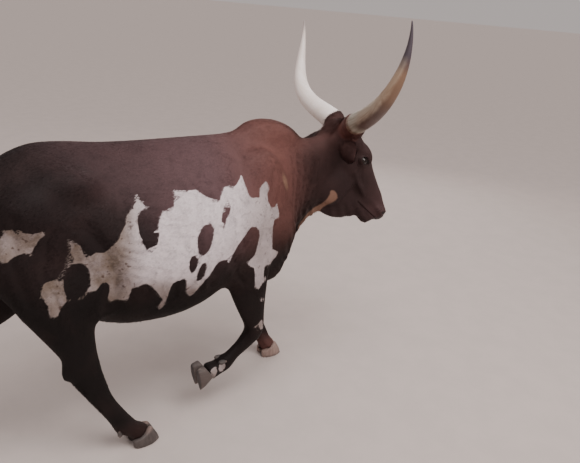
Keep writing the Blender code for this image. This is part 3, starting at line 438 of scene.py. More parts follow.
def gathered(names, name):
    """One mesh of several solids, merged and swollen so that they meet."""
    whole = bmesh.new()
    for node in names:
        part = bmesh.new()
        part.from_mesh(NODES[node].data)
        bmesh.ops.remove_doubles(part, verts=part.verts, dist=1e-5)
        part.normal_update()
        swell = EAR_SWELL if node.startswith("ear") else SWELL
        moves = [(v, v.normal * swell) for v in part.verts]
        for vert, move in moves:
            vert.co += move
        scrap = bpy.data.meshes.new("scrap")
        part.to_mesh(scrap)
        part.free()
        whole.from_mesh(scrap)
        bpy.data.meshes.remove(scrap)
    return new_piece(name, whole)


def applied(piece):
    """Takes the modifiers' result as the mesh."""
    graph = bpy.context.evaluated_depsgraph_get()
    mesh = bpy.data.meshes.new_from_object(piece.evaluated_get(graph))
    piece.modifiers.clear()
    old = piece.data
    piece.data = mesh
    bpy.data.meshes.remove(old)
    mesh.name = piece.name
    return piece


def voxel_remesh(piece, size):
    remesh = piece.modifiers.new("voxels", "REMESH")
    remesh.mode = "VOXEL"
    remesh.voxel_size = size
    return applied(piece)


def rows_of(items, key, width, kind=np.float32):
    """One property of all items, a row for each."""
    rows = np.empty(len(items) * width, kind)
    items.foreach_get(key, rows)
    return rows.reshape(-1, width)


def places_of(mesh):
    return rows_of(mesh.vertices, "co", 3).astype(float)


def normals_of(mesh):
    return rows_of(mesh.vertex_normals, "vector", 3).astype(float)


def edges_of(mesh):
    return rows_of(mesh.edges, "vertices", 2, np.int32)


def move_to(mesh, places):
    mesh.vertices.foreach_set("co", places.astype(np.float32).ravel())
    mesh.update()


def keep_largest(piece):
    """Drops every closed surface of the mesh but the largest."""
    mesh = piece.data
    edges = edges_of(mesh)
    label = np.arange(len(mesh.vertices))
    while True:
        least = np.minimum(label[edges[:, 0]], label[edges[:, 1]])
        new = label.copy()
        np.minimum.at(new, edges[:, 0], least)
        np.minimum.at(new, edges[:, 1], least)
        new = new[new]
        if np.array_equal(new, label):
            break
        label = new
    names, counts = np.unique(label, return_counts=True)
    if len(names) == 1:
        return piece
    keep = label == names[counts.argmax()]
    bm = bmesh.new()
    bm.from_mesh(mesh)
    bm.verts.ensure_lookup_table()
    loose = [bm.verts[i] for i in np.flatnonzero(~keep)]
    bmesh.ops.delete(bm, geom=loose, context="VERTS")
    bm.to_mesh(mesh)
    bm.free()
    return piece


def softened(places, edges, share, rounds):
    """Each vertex moves half way to its neighbours' middle, times its share, over and over."""
    count = len(places)
    first, second = edges[:, 0], edges[:, 1]
    degree = np.bincount(edges.ravel(), minlength=count)[:, None]
    places = places.copy()
    for _ in range(rounds):
        total = np.empty_like(places)
        for axis in range(3):
            total[:, axis] = np.bincount(first, places[second, axis], count)
            total[:, axis] += np.bincount(second, places[first, axis], count)
        places += 0.5 * share[:, None] * (total / degree - places)
    return places


def body_places(mesh):
    """Vertex places before the solids were centred."""
    return places_of(mesh) + CENTRE


def attribute(mesh, name, values, kind="FLOAT"):
    data = mesh.attributes.new(name, kind, "POINT").data
    values = np.asarray(values, np.float32)
    data.foreach_set("vector" if kind == "FLOAT_VECTOR" else "value", values.ravel())


def smooth_faces(mesh):
    mesh.polygons.foreach_set("use_smooth", np.ones(len(mesh.polygons), bool))
    mesh.update()


def dress(piece, slot, *replaced):
    """Rides on the one body and hides the solids it stands for; slot is not used."""
    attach(piece, "root")
    if replaced:
        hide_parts(*replaced)


# Folds and grooves, as seen from the side: points are (along, up), negative depth stands out

Fold = namedtuple("Fold", "depth width points")
BODY_FOLDS = (
    Fold(0.011, 0.036, ((-0.355, 1.02), (-0.300, 0.92), (-0.275, 0.80), (-0.300, 0.70))),
    Fold(0.006, 0.030, ((0.290, 1.20), (0.255, 1.02), (0.265, 0.86))),
    Fold(0.005, 0.026, ((0.460, 1.14), (0.425, 0.97), (0.400, 0.84))),
    Fold(0.006, 0.018, ((0.225, 0.80), (0.245, 0.72), (0.300, 0.655))),
    Fold(0.005, 0.022, ((0.780, 1.02), (0.700, 0.93), (0.610, 0.80))),
    Fold(0.005, 0.024, ((-0.585, 1.08), (-0.600, 0.92), (-0.560, 0.76))),
    Fold(0.004, 0.020, ((-0.470, 1.03), (-0.500, 0.90), (-0.470, 0.74))),
)
NECK_FOLDS = (
    (0.615, 1.17, 0.585, 0.88), (0.655, 1.16, 0.620, 0.86), (0.692, 1.15, 0.665, 0.90),
    (0.728, 1.14, 0.705, 0.93), (0.762, 1.13, 0.745, 0.96),
)
RIB_AT = (-0.215, -0.160, -0.105, -0.050, 0.005, 0.060, 0.115, 0.170)
HEAD_FOLDS = (
    Fold(0.0060, 0.0042, (
        (0.345, -0.1388), (0.400, -0.1278), (0.450, -0.1179), (0.478, -0.1130), (0.540, -0.1130))),
    Fold(0.0045, 0.014, ((0.195, -0.115), (0.262, -0.170), (0.285, -0.235), (0.262, -0.285))),
    Fold(-0.0040, 0.011, ((0.185, -0.086), (0.255, -0.098), (0.335, -0.100))),
    Fold(0.0030, 0.008, ((0.188, -0.046), (0.230, -0.066), (0.275, -0.078))),
    Fold(0.0020, 0.004, ((0.449, -0.040), (0.458, -0.066), (0.452, -0.094))),
    Fold(0.0016, 0.004, ((0.437, -0.046), (0.446, -0.070), (0.440, -0.092))),
    Fold(0.0022, 0.005, ((0.330, -0.150), (0.345, -0.165), (0.350, -0.185))),
    Fold(0.0020, 0.004, ((0.350, -0.145), (0.362, -0.158), (0.366, -0.174))),
)
EYE_WRINKLES = ((0.0300, 0.0018), (0.0385, 0.0012))
NOSTRIL = np.array((
    (0.521, 0.036, -0.071), (0.512, 0.042, -0.060), (0.500, 0.050, -0.057),
    (0.486, 0.058, -0.062), (0.474, 0.062, -0.068)))


def path_distance(points, path):
    """Distance of points to a bent line."""
    nearest = np.full(len(points), 1e9)
    for a, b in zip(path[:-1], path[1:]):
        side = b - a
        share = np.clip(((points - a) @ side) / (side @ side), 0, 1)
        off = points - a - share[:, None] * side
        nearest = np.minimum(nearest, np.sqrt((off * off).sum(1)))
    return nearest


def groove(places, fold):
    """Depth of a fold at flat places: a groove with a raised shoulder on either side."""
    r = (path_distance(places, np.array(fold.points, float)) / fold.width) ** 2
    return -fold.depth * (1 - 0.8 * r) * np.exp(-r)


def folds_at(points, normals):
    """How far the skin stands out from its smooth form."""
    flat = points[:, (0, 2)]
    sideways = ramp(np.abs(normals[:, 1]), 0.25, 0.65)
    head = in_head(points)
    turned = normals @ HEAD[:3, :3]
    on_head = ((points[:, 0] > 0.78) | (head[:, 0] > 0.10)) & (points[:, 0] > 0.7)
    rise = np.zeros(len(points))
    for fold in BODY_FOLDS:
        rise += groove(flat, fold) * sideways * ~on_head
    for k, (x0, z0, x1, z1) in enumerate(NECK_FOLDS):
        bend = 0.012 * math.sin(2.1 * k)
        line = ((x0, z0), ((x0 + x1) / 2 + bend, (z0 + z1) / 2), (x1, z1))
        rise += groove(flat, Fold(0.0030, 0.014, line)) * sideways * ~on_head
    for x in RIB_AT:
        line = ((x, 1.12), (x - 0.018, 0.95), (x - 0.060, 0.72))
        rise += groove(flat, Fold(0.0022, 0.018, line)) * sideways
    # Dewlap ripples
    dewlap = ramp(points[:, 0], 0.52, 0.60) * (1 - ramp(points[:, 2], 0.86, 0.96))
    ripple = np.sin((points[:, 2] * 0.8 + points[:, 0] * 1.1) * 2 * math.pi / 0.052
                    + 2.0 * np.sin(points[:, 2] * 19))
    rise += 0.0022 * ripple * dewlap * sideways
    path = NOSTRIL * np.array((1, -1, 1))
    aimed = head * np.stack((np.ones(len(head)), -np.sign(head[:, 1]), np.ones(len(head))), 1)
    away = path_distance(aimed, path)
    near_nose = on_head & (head[:, 0] > 0.40)
    rise -= 0.0130 * np.exp(-(away / 0.0062) ** 2) * near_nose
    rise += 0.0030 * np.exp(-((away - 0.0125) / 0.0045) ** 2) * near_nose
    face = head[:, (0, 2)]
    aside = ramp(np.abs(turned[:, 1]), 0.10, 0.45) * on_head
    front = ramp(turned[:, 0], 0.2, 0.6) * (head[:, 0] > 0.44)
    for k, fold in enumerate(HEAD_FOLDS):
        share = np.maximum(aside, 0.45 * front) if k == 0 else aside
        rise += groove(face, fold) * share * on_head
    reach = np.hypot(face[:, 0] - EYE_AT[0], (face[:, 1] - EYE_AT[2]) * 1.15)
    up_down = np.abs(face[:, 1] - EYE_AT[2]) / np.maximum(reach, 1e-6)
    for radius, depth in EYE_WRINKLES:
        r = ((reach - radius) / 0.0032) ** 2
        rise -= depth * (1 - 0.8 * r) * np.exp(-r) * aside * ramp(up_down, 0.25, 0.7)
    return rise


def coat_depth(points):
    """Thickness of the coat, thin on head, ears and lower legs."""
    head = in_head(points)
    thin = ramp(head[:, 0], 0.0, 0.12) * (points[:, 0] > HEAD_FROM)
    thin = np.maximum(thin, 1 - ramp(points[:, 2], 0.35, 0.6))
    return 0.0028 - 0.0016 * thin


def bare_share(points):
    """1 on the naked skin of the muzzle."""
    head = in_head(points)
    pad = np.maximum(0.474 + 0.25 * np.abs(head[:, 1]) ** 1.2, 0.0)
    top = ramp(head[:, 0], pad - 0.006, pad + 0.004) * (head[:, 2] > -0.118)
    lip = ramp(head[:, 0], 0.468, 0.478) * (head[:, 2] <= -0.118)
    return np.maximum(top, lip) * (points[:, 0] > 0.9)


class BULL_OT_skin(bpy.types.Operator):
    """One hide over body, legs, neck, head, ears and tail"""
    bl_idname = "bull.skin"
    bl_label = "Skin"

    def execute(self, context):
        skin = gathered(FLESH, "skin")
        whole = bmesh.new()
        whole.from_mesh(skin.data)
        for _, side in SIDES:
            spine, share, radii = horn_line(side)
            last = int(np.searchsorted(share, SKIRT_REACH[side]))
            swell = 0.0085 - 0.0045 * np.linspace(0, 1, last) ** 2
            skirt = round_tube("skirt", spine[:last], radii[:last] + swell, 11)
            whole.from_mesh(skirt.data)
            bpy.data.objects.remove(skirt)
        whole.to_mesh(skin.data)
        whole.free()
        voxel_remesh(skin, SKIN_VOXEL)
        keep_largest(skin)
        mesh = skin.data
        points = body_places(mesh)
        head = in_head(points)
        on_head = ramp(head[:, 0], -0.06, 0.02) * (points[:, 0] > HEAD_FROM) * (head[:, 2] > -0.36)
        leg = 1 - ramp(points[:, 2], 0.50, 0.68)
        leg *= np.maximum(np.abs(points[:, 1]) > 0.085, points[:, 2] < 0.46)
        tail = (points[:, 0] < -0.68) & (np.abs(points[:, 1]) < 0.05)
        share = 1 - 0.90 * on_head - 0.70 * leg * (1 - on_head)
        share = np.where(tail, 0.25, share)
        ear = (np.abs(head[:, 1]) > 0.118) & (points[:, 0] > HEAD_FROM) & (head[:, 2] < 0.02)
        share = np.where(ear, 0.05, share)
        points = softened(points, edges_of(mesh), share, 60)
        move_to(mesh, points - CENTRE)

        fine = ramp(head[:, 0], -0.08, -0.02) * (points[:, 0] > HEAD_FROM) * (head[:, 2] > -0.36)
        group = skin.vertex_groups.new(name="coarse")
        for level in range(5):
            chosen = np.flatnonzero(np.round((1 - fine) * 4) == level)
            group.add(chosen.tolist(), level / 4, "REPLACE")
        thin = skin.modifiers.new("thin", "DECIMATE")
        thin.ratio = SKIN_FACES / (len(mesh.polygons) * 2)
        thin.vertex_group = "coarse"
        applied(skin)
        mesh = skin.data

        # Finer round the eyes and over the muzzle
        bm = bmesh.new()
        bm.from_mesh(mesh)
        head = in_head(body_places(mesh))
        near_eye = np.hypot(head[:, 0] - EYE_AT[0], head[:, 2] - EYE_AT[2]) < 0.050
        near_eye &= np.abs(head[:, 1]) > 0.07
        muzzle = (head[:, 0] > 0.33) & (head[:, 2] > -0.19)
        chosen = (near_eye | muzzle) & (body_places(mesh)[:, 0] > 0.8)
        edges = [e for e in bm.edges if chosen[e.verts[0].index] and chosen[e.verts[1].index]]
        bmesh.ops.subdivide_edges(bm, edges=edges, cuts=1, use_grid_fill=True)
        bmesh.ops.triangulate(bm, faces=bm.faces)
        bm.to_mesh(mesh)
        bm.free()
        points = body_places(mesh)
        points = softened(points, edges_of(mesh), np.full(len(points), 0.5), 2)
        move_to(mesh, points - CENTRE)
        normals = normals_of(mesh)
        rise = folds_at(points, normals) - coat_depth(points)
        rise += 0.0042 * np.exp(-(horn_distance(points, ("dewclaw",)) / 0.0085) ** 2)
        rise += 0.0028 * np.exp(-(horn_distance(points, ("claw",)) / 0.0100) ** 2)
        points += normals * rise[:, None]
        move_to(mesh, points - CENTRE)
        smooth_faces(mesh)

        normals = normals_of(mesh)
        white, tan, patch, tone_and_painted_light, warm = markings(points, normals)
        attribute(mesh, "white", np.clip(white, -MARK_REACH, MARK_REACH))
        attribute(mesh, "tan", tan)
        attribute(mesh, "patch", np.clip(patch, -MARK_REACH, MARK_REACH))
        attribute(mesh, "tone_and_painted_light", tone_and_painted_light)
        attribute(mesh, "warm", warm)
        attribute(mesh, "bare", bare_share(points))
        head = in_head(points)
        aimed = np.stack((head[:, 0], np.abs(head[:, 1]), head[:, 2]), 1)
        # Painted shade: near-black in the nostril grooves, where a deep nostril's shade would fall
        nostril = np.exp(-(path_distance(aimed, NOSTRIL) / 0.0075) ** 2)
        attribute(mesh, "nostril_shade", np.clip(nostril * 1.3, 0, 1))
        attribute(mesh, "streak", np.full(len(points), 0.5))
        lie = lie_of(points, normals)
        along = np.sum(points * lie, 1)
        attribute(mesh, "grain", points - 0.86 * along[:, None] * lie, "FLOAT_VECTOR")
        mesh.materials.clear()
        mesh.materials.append(hide_material("skin hide", True))
        dress(skin, "hide", *FLESH)
        print("skin triangles", len(mesh.polygons))
        return {"FINISHED"}


# Coat

Coat = namedtuple("Coat", "name count length width lift")
COATS = (
    Coat("coat_trunk_right", 47500, 0.0150, 0.0024, 0.055),
    Coat("coat_trunk_left", 47500, 0.0150, 0.0024, 0.055),
    Coat("coat_rump", 47500, 0.0150, 0.0024, 0.055),
    Coat("coat_shoulders", 47500, 0.0145, 0.0024, 0.055),
    Coat("coat_neck", 40000, 0.0140, 0.0024, 0.060),
    Coat("coat_limbs", 46000, 0.0100, 0.0021, 0.060),
    Coat("coat_head", 46000, 0.0078, 0.0016, 0.060),
)


def zone_of(points):
    """Which coat piece each point belongs to."""
    head = in_head(points)
    zone = np.where(points[:, 1] < 0, 0, 1)
    zone[points[:, 0] < -0.30] = 2
    zone[points[:, 0] > 0.30] = 3
    zone[points[:, 0] > 0.58] = 4
    limb = (points[:, 2] < 0.60) & ((np.abs(points[:, 1]) > 0.085) | (points[:, 2] < 0.45))
    zone[limb] = 5
    zone[(points[:, 0] < -0.68) & (np.abs(points[:, 1]) < 0.06)] = 5
    zone[(points[:, 0] > 0.74) & (head[:, 0] > -0.07) & (head[:, 2] > -0.34)] = 6
    return zone


def face_table(mesh):
    mesh.calc_loop_triangles()
    return tuple(rows_of(mesh.loop_triangles, key, 3, np.int32) for key in ("vertices", "loops"))


def skin_unwrap(piece):
    """A map of the skin's own shape, which places each tuft's colour."""
    mesh = piece.data
    mesh.uv_layers.new(name="Unwrap")
    bpy.ops.object.select_all(action="DESELECT")
    piece.select_set(True)
    bpy.context.view_layer.objects.active = piece
    bpy.ops.object.mode_set(mode="EDIT")
    bpy.ops.mesh.select_all(action="SELECT")
    bpy.ops.uv.smart_project(angle_limit=1.15, island_margin=0.002, scale_to_bounds=True)
    bpy.ops.object.mode_set(mode="OBJECT")
    uv = rows_of(mesh.uv_layers["Unwrap"].uv, "vector", 2)
    mesh.uv_layers.remove(mesh.uv_layers["Unwrap"])
    return uv


def tufts_mesh(name, roots, normals, lies, length, width, lift, uv, draw, bend=None):
    """Thin closed blades: a flat three-cornered root that tapers to one tip, bent once if asked."""
    count = len(roots)
    across = np.cross(normals, lies)
    wobble = draw.normal(0, 0.16, count)[:, None]
    lies = unit(lies + across * wobble)
    across = np.cross(normals, lies)
    sunk = roots - normals * 0.0010
    thick = width * 0.22
    half = (width * 0.5)[:, None]
    left = sunk - across * half
    right = sunk + across * half
    top = sunk + normals * thick[:, None]
    reach = length[:, None]
    rise = lift[:, None]
    if bend is None:
        tip = roots + lies * reach + normals * reach * rise
        verts = np.stack((left, right, top, tip), 1).reshape(-1, 3)
        per = 4
        faces = np.array(((0, 2, 1), (0, 3, 2), (2, 3, 1), (1, 3, 0)))
        spread = np.array(((-1, -1), (1, -1), (0, -0.6), (0, 1)))
    else:
        sway = bend[:, None]
        middle = roots + lies * reach * 0.5 + normals * reach * 0.5 * rise * 1.2 - normals * 0.0002
        tip = roots + lies * reach * 0.95 + normals * reach * rise + across * reach * sway
        tip[:, 2] -= length * np.clip(rise[:, 0], 0, 1) * 0.45
        slim = 0.80
        verts = np.stack((
            left, right, top, middle - across * half * slim, middle + across * half * slim,
            middle + normals * thick[:, None] * slim, tip), 1).reshape(-1, 3)
        per = 7
        faces = np.array((
            (0, 2, 1), (0, 3, 5), (0, 5, 2), (2, 5, 4), (2, 4, 1), (1, 4, 3), (1, 3, 0),
            (3, 6, 5), (5, 6, 4), (4, 6, 3)))
        spread = np.array(((-1, -1), (1, -1), (0, -0.9), (-0.6, 0), (0.6, 0), (0, 0.1), (0, 1)))
    offsets = (np.arange(count) * per)[:, None, None]
    corners = (faces[None] + offsets).reshape(-1, 3)
    mesh = bpy.data.meshes.new(name)
    mesh.vertices.add(len(verts))
    mesh.loops.add(corners.size)
    mesh.polygons.add(len(corners))
    mesh.vertices.foreach_set("co", (verts - CENTRE).astype(np.float32).ravel())
    mesh.polygons.foreach_set("loop_start", np.arange(len(corners), dtype=np.int32) * 3)
    mesh.loops.foreach_set("vertex_index", corners.astype(np.int32).ravel())
    mesh.update(calc_edges=True)
    layer = mesh.uv_layers.new(name="OFBake")
    spots = uv[:, None] + spread[None] * TUFT_PATCH
    layer.uv.foreach_set("vector", spots.reshape(-1, 2)[corners.ravel()].astype(np.float32).ravel())
    mesh.validate()
    shine = normals + across * draw.normal(0, 0.20, count)[:, None]
    shine = unit(shine + lies * draw.normal(0, 0.14, count)[:, None])
    smooth_faces(mesh)
    mesh.normals_split_custom_set_from_vertices(np.repeat(shine, per, 0))
    return mesh, per


class Roots:
    """Places on the skin where hair can grow, drawn evenly over its faces."""

    def __init__(self, skin):
        mesh = skin.data
        self.points = body_places(mesh)
        self.normals = normals_of(mesh)
        self.uv = skin_unwrap(skin)
        self.corners, self.loops = face_table(mesh)
        a, b, c = (self.points[self.corners[:, k]] for k in range(3))
        self.area = np.linalg.norm(np.cross(b - a, c - a), axis=1) / 2
        self.middle = (a + b + c) / 3

    def draw(self, chance, count, draw):
        """Random places, each face as likely as its area times chance."""
        weight = self.area * chance
        face = draw.choice(len(weight), count, p=weight / weight.sum())
        u, v = draw.random(count), draw.random(count)
        flip = u + v > 1
        u[flip], v[flip] = 1 - u[flip], 1 - v[flip]
        share = np.stack((1 - u - v, u, v), 1)[:, :, None]
        points = (self.points[self.corners[face]] * share).sum(1)
        normals = unit((self.normals[self.corners[face]] * share).sum(1))
        uv = (self.uv[self.loops[face]] * share).sum(1)
        return points, normals, uv


def horn_distance(points, kinds):
    """How far points of the feet are from claws or dewclaws, and far away for the rest."""
    horn = []
    for foot in FEET:
        for word, _ in SIDES:
            for kind in kinds:
                horn.append(places_of(NODES[kind + "_" + foot + "_" + word].data) + CENTRE)
    horn = np.concatenate(horn)
    tree = KDTree(len(horn))
    for k, place in enumerate(horn):
        tree.insert(place, k)
    tree.balance()
    away = np.full(len(points), 1.0)
    for k in np.flatnonzero(points[:, 2] < 0.42):
        away[k] = tree.find(points[k])[2]
    return away


def eye_clear(points):
    """Where hair may grow: everywhere but on the eyes."""
    head = in_head(points)
    flat = np.hypot((head[:, 0] - EYE_AT[0]) / 1.25, head[:, 2] - EYE_AT[2])
    near = (flat < 0.019) & (np.abs(head[:, 1]) > 0.06)
    return ~near


def tuft_piece(name, found, length, width, lift, slot, material, draw, bend=None):
    points, normals, uv = found
    lies = lie_of(points, normals)
    mesh, per = tufts_mesh(name, points, normals, lies, length, width, lift, uv, draw, bend)
    middles = points + lies * (length * TUFT_MIDDLE)[:, None]
    values = markings(middles, normals)
    reach = (-MARK_REACH, MARK_REACH)
    limits = (reach, (0, 1), reach, (0, 1), (0, 1))
    for key, value, limit in zip(("white", "tan", "patch", "tone_and_painted_light", "warm"), values, limits):
        attribute(mesh, key, np.repeat(np.clip(value, *limit), per))
    attribute(mesh, "streak", np.repeat(draw.random(len(points)), per))
    attribute(mesh, "bare", np.zeros(len(points) * per))
    mesh.materials.append(material)
    piece = link(name, mesh)
    dress(piece, slot)
    return piece


class BULL_OT_coat(bpy.types.Operator):
    """Short tufts that lie along the body, in a few large pieces"""
    bl_idname = "bull.coat"
    bl_label = "Coat"

    def execute(self, context):
        roots = Roots(bpy.data.objects["skin"])
        draw = np.random.default_rng(SEED)
        zone = zone_of(roots.middle)
        open_skin = (1 - bare_share(roots.middle)) * eye_clear(roots.middle)
        material = hide_material("coat hair", False)
        for k, coat in enumerate(COATS):
            found = roots.draw((zone == k) * open_skin + 1e-12, coat.count, draw)
            vary = draw.uniform(0.75, 1.25, coat.count)
            small = 1 - 0.35 * (1 - ramp(found[0][:, 2], 0.10, 0.45))
            tuft_piece(
                coat.name, found, coat.length * vary * small,
                coat.width * draw.uniform(0.8, 1.2, coat.count),
                coat.lift * draw.uniform(0.6, 1.5, coat.count), "hide", material, draw)
        self.long_hair(roots, draw, material)
        return {"FINISHED"}

    def long_hair(self, roots, draw, material):
        """Longer hair where it breaks the outline."""
        middle = roots.middle
        head = in_head(middle)
        normals = roots.normals[roots.corners[:, 0]]
        spread = np.abs(middle[:, 1])
        # Name, count, length, width, lift and where it grows
        places = (
            ("poll_tuft", 2600, 0.034, 0.0020, 0.26,
             ((head[:, 0] < 0.055) & (head[:, 0] > -0.075) & (np.abs(head[:, 1]) < 0.060)
              & (head[:, 2] > -0.06) & (middle[:, 0] > HEAD_FROM))),
            ("ear_fringe", 3600, 0.013, 0.0014, 0.20,
             ((np.abs(head[:, 1]) > 0.125) & (np.abs(head[:, 0] - 0.035) < 0.10)
              & (head[:, 2] < 0.02) & (middle[:, 0] > HEAD_FROM))),
            ("crest_hair", 4200, 0.015, 0.0022, 0.12,
             ((spread < 0.035) & (middle[:, 0] > 0.30) & (middle[:, 2] > 1.12)
              & (head[:, 0] < -0.02))),
            ("dewlap_fringe", 3600, 0.014, 0.0020, 0.18,
             ((spread < 0.045) & (middle[:, 0] > 0.42) & (middle[:, 2] < 1.0)
              & (normals[:, 2] < -0.15) & (middle[:, 2] > 0.45))),
            ("belly_fringe", 3600, 0.014, 0.0022, 0.18,
             ((spread < 0.13) & (np.abs(middle[:, 0]) < 0.42)
              & (middle[:, 2] < 0.66) & (middle[:, 2] > 0.45) & (normals[:, 2] < -0.5))),
            ("leg_fringe", 3200, 0.011, 0.0016, 0.16,
             ((middle[:, 2] < 0.40) & (normals[:, 0] < -0.55) & (spread > 0.05))),
            ("chin_hair", 1200, 0.009, 0.0012, 0.20,
             ((head[:, 0] > 0.36) & (head[:, 2] < -0.150) & (middle[:, 0] > 0.8))),
            ("coronet_hair", 3000, 0.021, 0.0017, 0.06,
             horn_distance(middle, ("claw",)) < 0.015),
            ("dewclaw_hair", 1000, 0.015, 0.0016, 0.10,
             horn_distance(middle, ("dewclaw",)) < 0.013),
        )
        for name, count, length, width, lift, where in places:
            if not where.any():
                raise RuntimeError("no skin for " + name)
            found = roots.draw(where + 1e-12, count, draw)
            tuft_piece(
                name, found, length * draw.uniform(0.6, 1.25, count),
                width * draw.uniform(0.7, 1.2, count), lift * draw.uniform(0.4, 1.5, count),
                "hide", material, draw, draw.normal(0, 0.14, count))


# Materials

class Nodes:
    """Short names for building a material's nodes."""

    def __init__(self, name):
        material = bpy.data.materials.get(name)
        self.fresh = material is None
        self.material = material or bpy.data.materials.new(name)
        self.material.use_nodes = True
        self.tree = self.material.node_tree
        self.surface = self.tree.nodes.get("Principled BSDF")

    def add(self, kind, **settings):
        node = self.tree.nodes.new(kind)
        for key, value in settings.items():
            setattr(node, key, value)
        return node

    def wire(self, source, target):
        self.tree.links.new(source, target)

    def put(self, target, value):
        if isinstance(value, bpy.types.NodeSocket):
            self.wire(value, target)
        elif isinstance(value, (int, float)):
            target.default_value = value
        else:
            target.default_value = (*value, 1.0)

    def surface_set(self, **settings):
        """Inputs of the surface by their names, with _ for a space."""
        for key, value in settings.items():
            self.put(self.surface.inputs[key.replace("_", " ")], value)

    def value(self, name):
        return self.add("ShaderNodeAttribute", attribute_name=name).outputs["Fac"]

    def vector(self, name):
        return self.add("ShaderNodeAttribute", attribute_name=name).outputs["Vector"]

    def place(self):
        return self.add("ShaderNodeTexCoord").outputs["Object"]

    def math(self, operation, a, b=0.0, clamp=False):
        node = self.add("ShaderNodeMath", operation=operation, use_clamp=clamp)
        self.put(node.inputs[0], a)
        self.put(node.inputs[1], b)
        return node.outputs[0]

    def noise(self, place, scale, detail=2.0, rough=0.5):
        node = self.add("ShaderNodeTexNoise")
        self.wire(place, node.inputs["Vector"])
        node.inputs["Scale"].default_value = scale
        node.inputs["Detail"].default_value = detail
        node.inputs["Roughness"].default_value = rough
        return node.outputs["Fac"]

    def span(self, value, low, high, to_low=0.0, to_high=1.0, smooth=True):
        node = self.add("ShaderNodeMapRange")
        node.interpolation_type = "SMOOTHSTEP" if smooth else "LINEAR"
        self.put(node.inputs["Value"], value)
        node.inputs["From Min"].default_value = low
        node.inputs["From Max"].default_value = high
        node.inputs["To Min"].default_value = to_low
        node.inputs["To Max"].default_value = to_high
        return node.outputs["Result"]

    def blend(self, share, a, b, kind="MIX"):
        node = self.add("ShaderNodeMix", data_type="RGBA", blend_type=kind)
        self.put(node.inputs[0], share)
        self.put(node.inputs[6], a)
        self.put(node.inputs[7], b)
        return node.outputs[2]

    def bump(self, height, strength, distance, normal=None):
        node = self.add("ShaderNodeBump")
        node.inputs["Strength"].default_value = strength
        node.inputs["Distance"].default_value = distance
        self.wire(height, node.inputs["Height"])
        if normal is not None:
            self.wire(normal, node.inputs["Normal"])
        return node.outputs["Normal"]


def hide_material(name, bumped):
    """Dark coat whose tone carries painted light and shade, torn white patches with a tan tinge and
    freckles, and bare muzzle skin with painted shade in the nostrils.
    """
    n = Nodes(name)
    if not n.fresh:
        return n.material
    looks = bpy.context.scene.bull_coat
    place = n.place()
    edge = n.noise(place, 70.0, 3.0, 0.6)
    torn = n.math("MULTIPLY", n.math("SUBTRACT", edge, 0.5), 0.0065)
    depth = n.math("ADD", n.value("white"), torn)
    white = n.span(depth, -0.0012, 0.0014)
    # Dark coat: the tone mixes the deep and the lit colours, partly the coat's own tone and partly
    # painted light and shade
    broad = n.noise(place, 5.0, 4.0, 0.55)
    fine = n.noise(place, 26.0, 3.0, 0.6)
    lit = n.blend(n.value("warm"), looks.back, looks.neck)
    lit = n.blend(n.span(fine, 0.45, 0.75, 0.0, 0.16), lit, looks.dark)
    deep = n.blend(n.span(broad, 0.40, 0.72), looks.dark, looks.deep)
    shift = n.math("MULTIPLY", n.math("SUBTRACT", broad, 0.5), 0.85)
    level = n.math("ADD", n.value("tone_and_painted_light"), n.math("MULTIPLY", shift, n.value("tone_and_painted_light")), True)
    coat = n.blend(level, deep, lit)
    # White, tan tinge and freckles
    mottle = n.noise(place, 14.0, 4.0, 0.6)
    tinge = n.math("MULTIPLY", n.value("tan"), n.span(mottle, 0.28, 0.68, 0.74, 1.0))
    pale = n.blend(tinge, looks.white, looks.tan)
    blotch = n.span(n.noise(place, 20.0, 4.0, 0.65), 0.50, 0.70)
    pale = n.blend(n.math("MULTIPLY", blotch, 0.30), pale, looks.freckle)
    fleck = n.span(n.noise(place, 66.0, 1.0, 0.4), 0.655, 0.735)
    fleck = n.math("MULTIPLY", fleck, n.span(n.value("tan"), 0.0, 1.0, 0.20, 0.80))
    pale = n.blend(fleck, pale, looks.fleck)
    base = n.blend(white, coat, pale)
    patch = n.math("ADD", n.value("patch"), torn)
    base = n.blend(n.span(patch, -0.004, 0.004), base, looks.throat)
    strands = n.span(n.value("streak"), 0.0, 1.0, 0.78, 1.26, False)
    if bumped:
        grain = n.vector("grain")
        strands = n.span(n.noise(grain, 420.0, 3.0, 0.7), 0.25, 0.75, 0.72, 1.22, False)
    scale = n.add("ShaderNodeVectorMath", operation="SCALE")
    n.wire(base, scale.inputs[0])
    n.wire(strands, scale.inputs["Scale"])
    base = scale.outputs[0]
    if bumped:
        bare = n.value("bare")
        pores = n.add("ShaderNodeTexVoronoi", feature="F1")
        n.wire(place, pores.inputs["Vector"])
        pores.inputs["Scale"].default_value = 330.0
        base = n.blend(bare, base, looks.muzzle)
        # Painted shade in the nostril grooves
        base = n.blend(n.value("nostril_shade"), base, looks.nostril)
        fur_bump = n.bump(n.noise(grain, 380.0, 3.0, 0.65), 0.55, 0.0016)
        height = n.math("MULTIPLY", pores.outputs["Distance"], bare)
        skin_bump = n.bump(height, 0.6, 0.0012, fur_bump)
        n.surface_set(Normal=skin_bump, Roughness=n.span(bare, 0.0, 1.0, 0.64, 0.32))
    else:
        n.surface_set(Roughness=0.61)
    n.surface_set(Base_Color=base, Specular_IOR_Level=0.17)
    return n.material


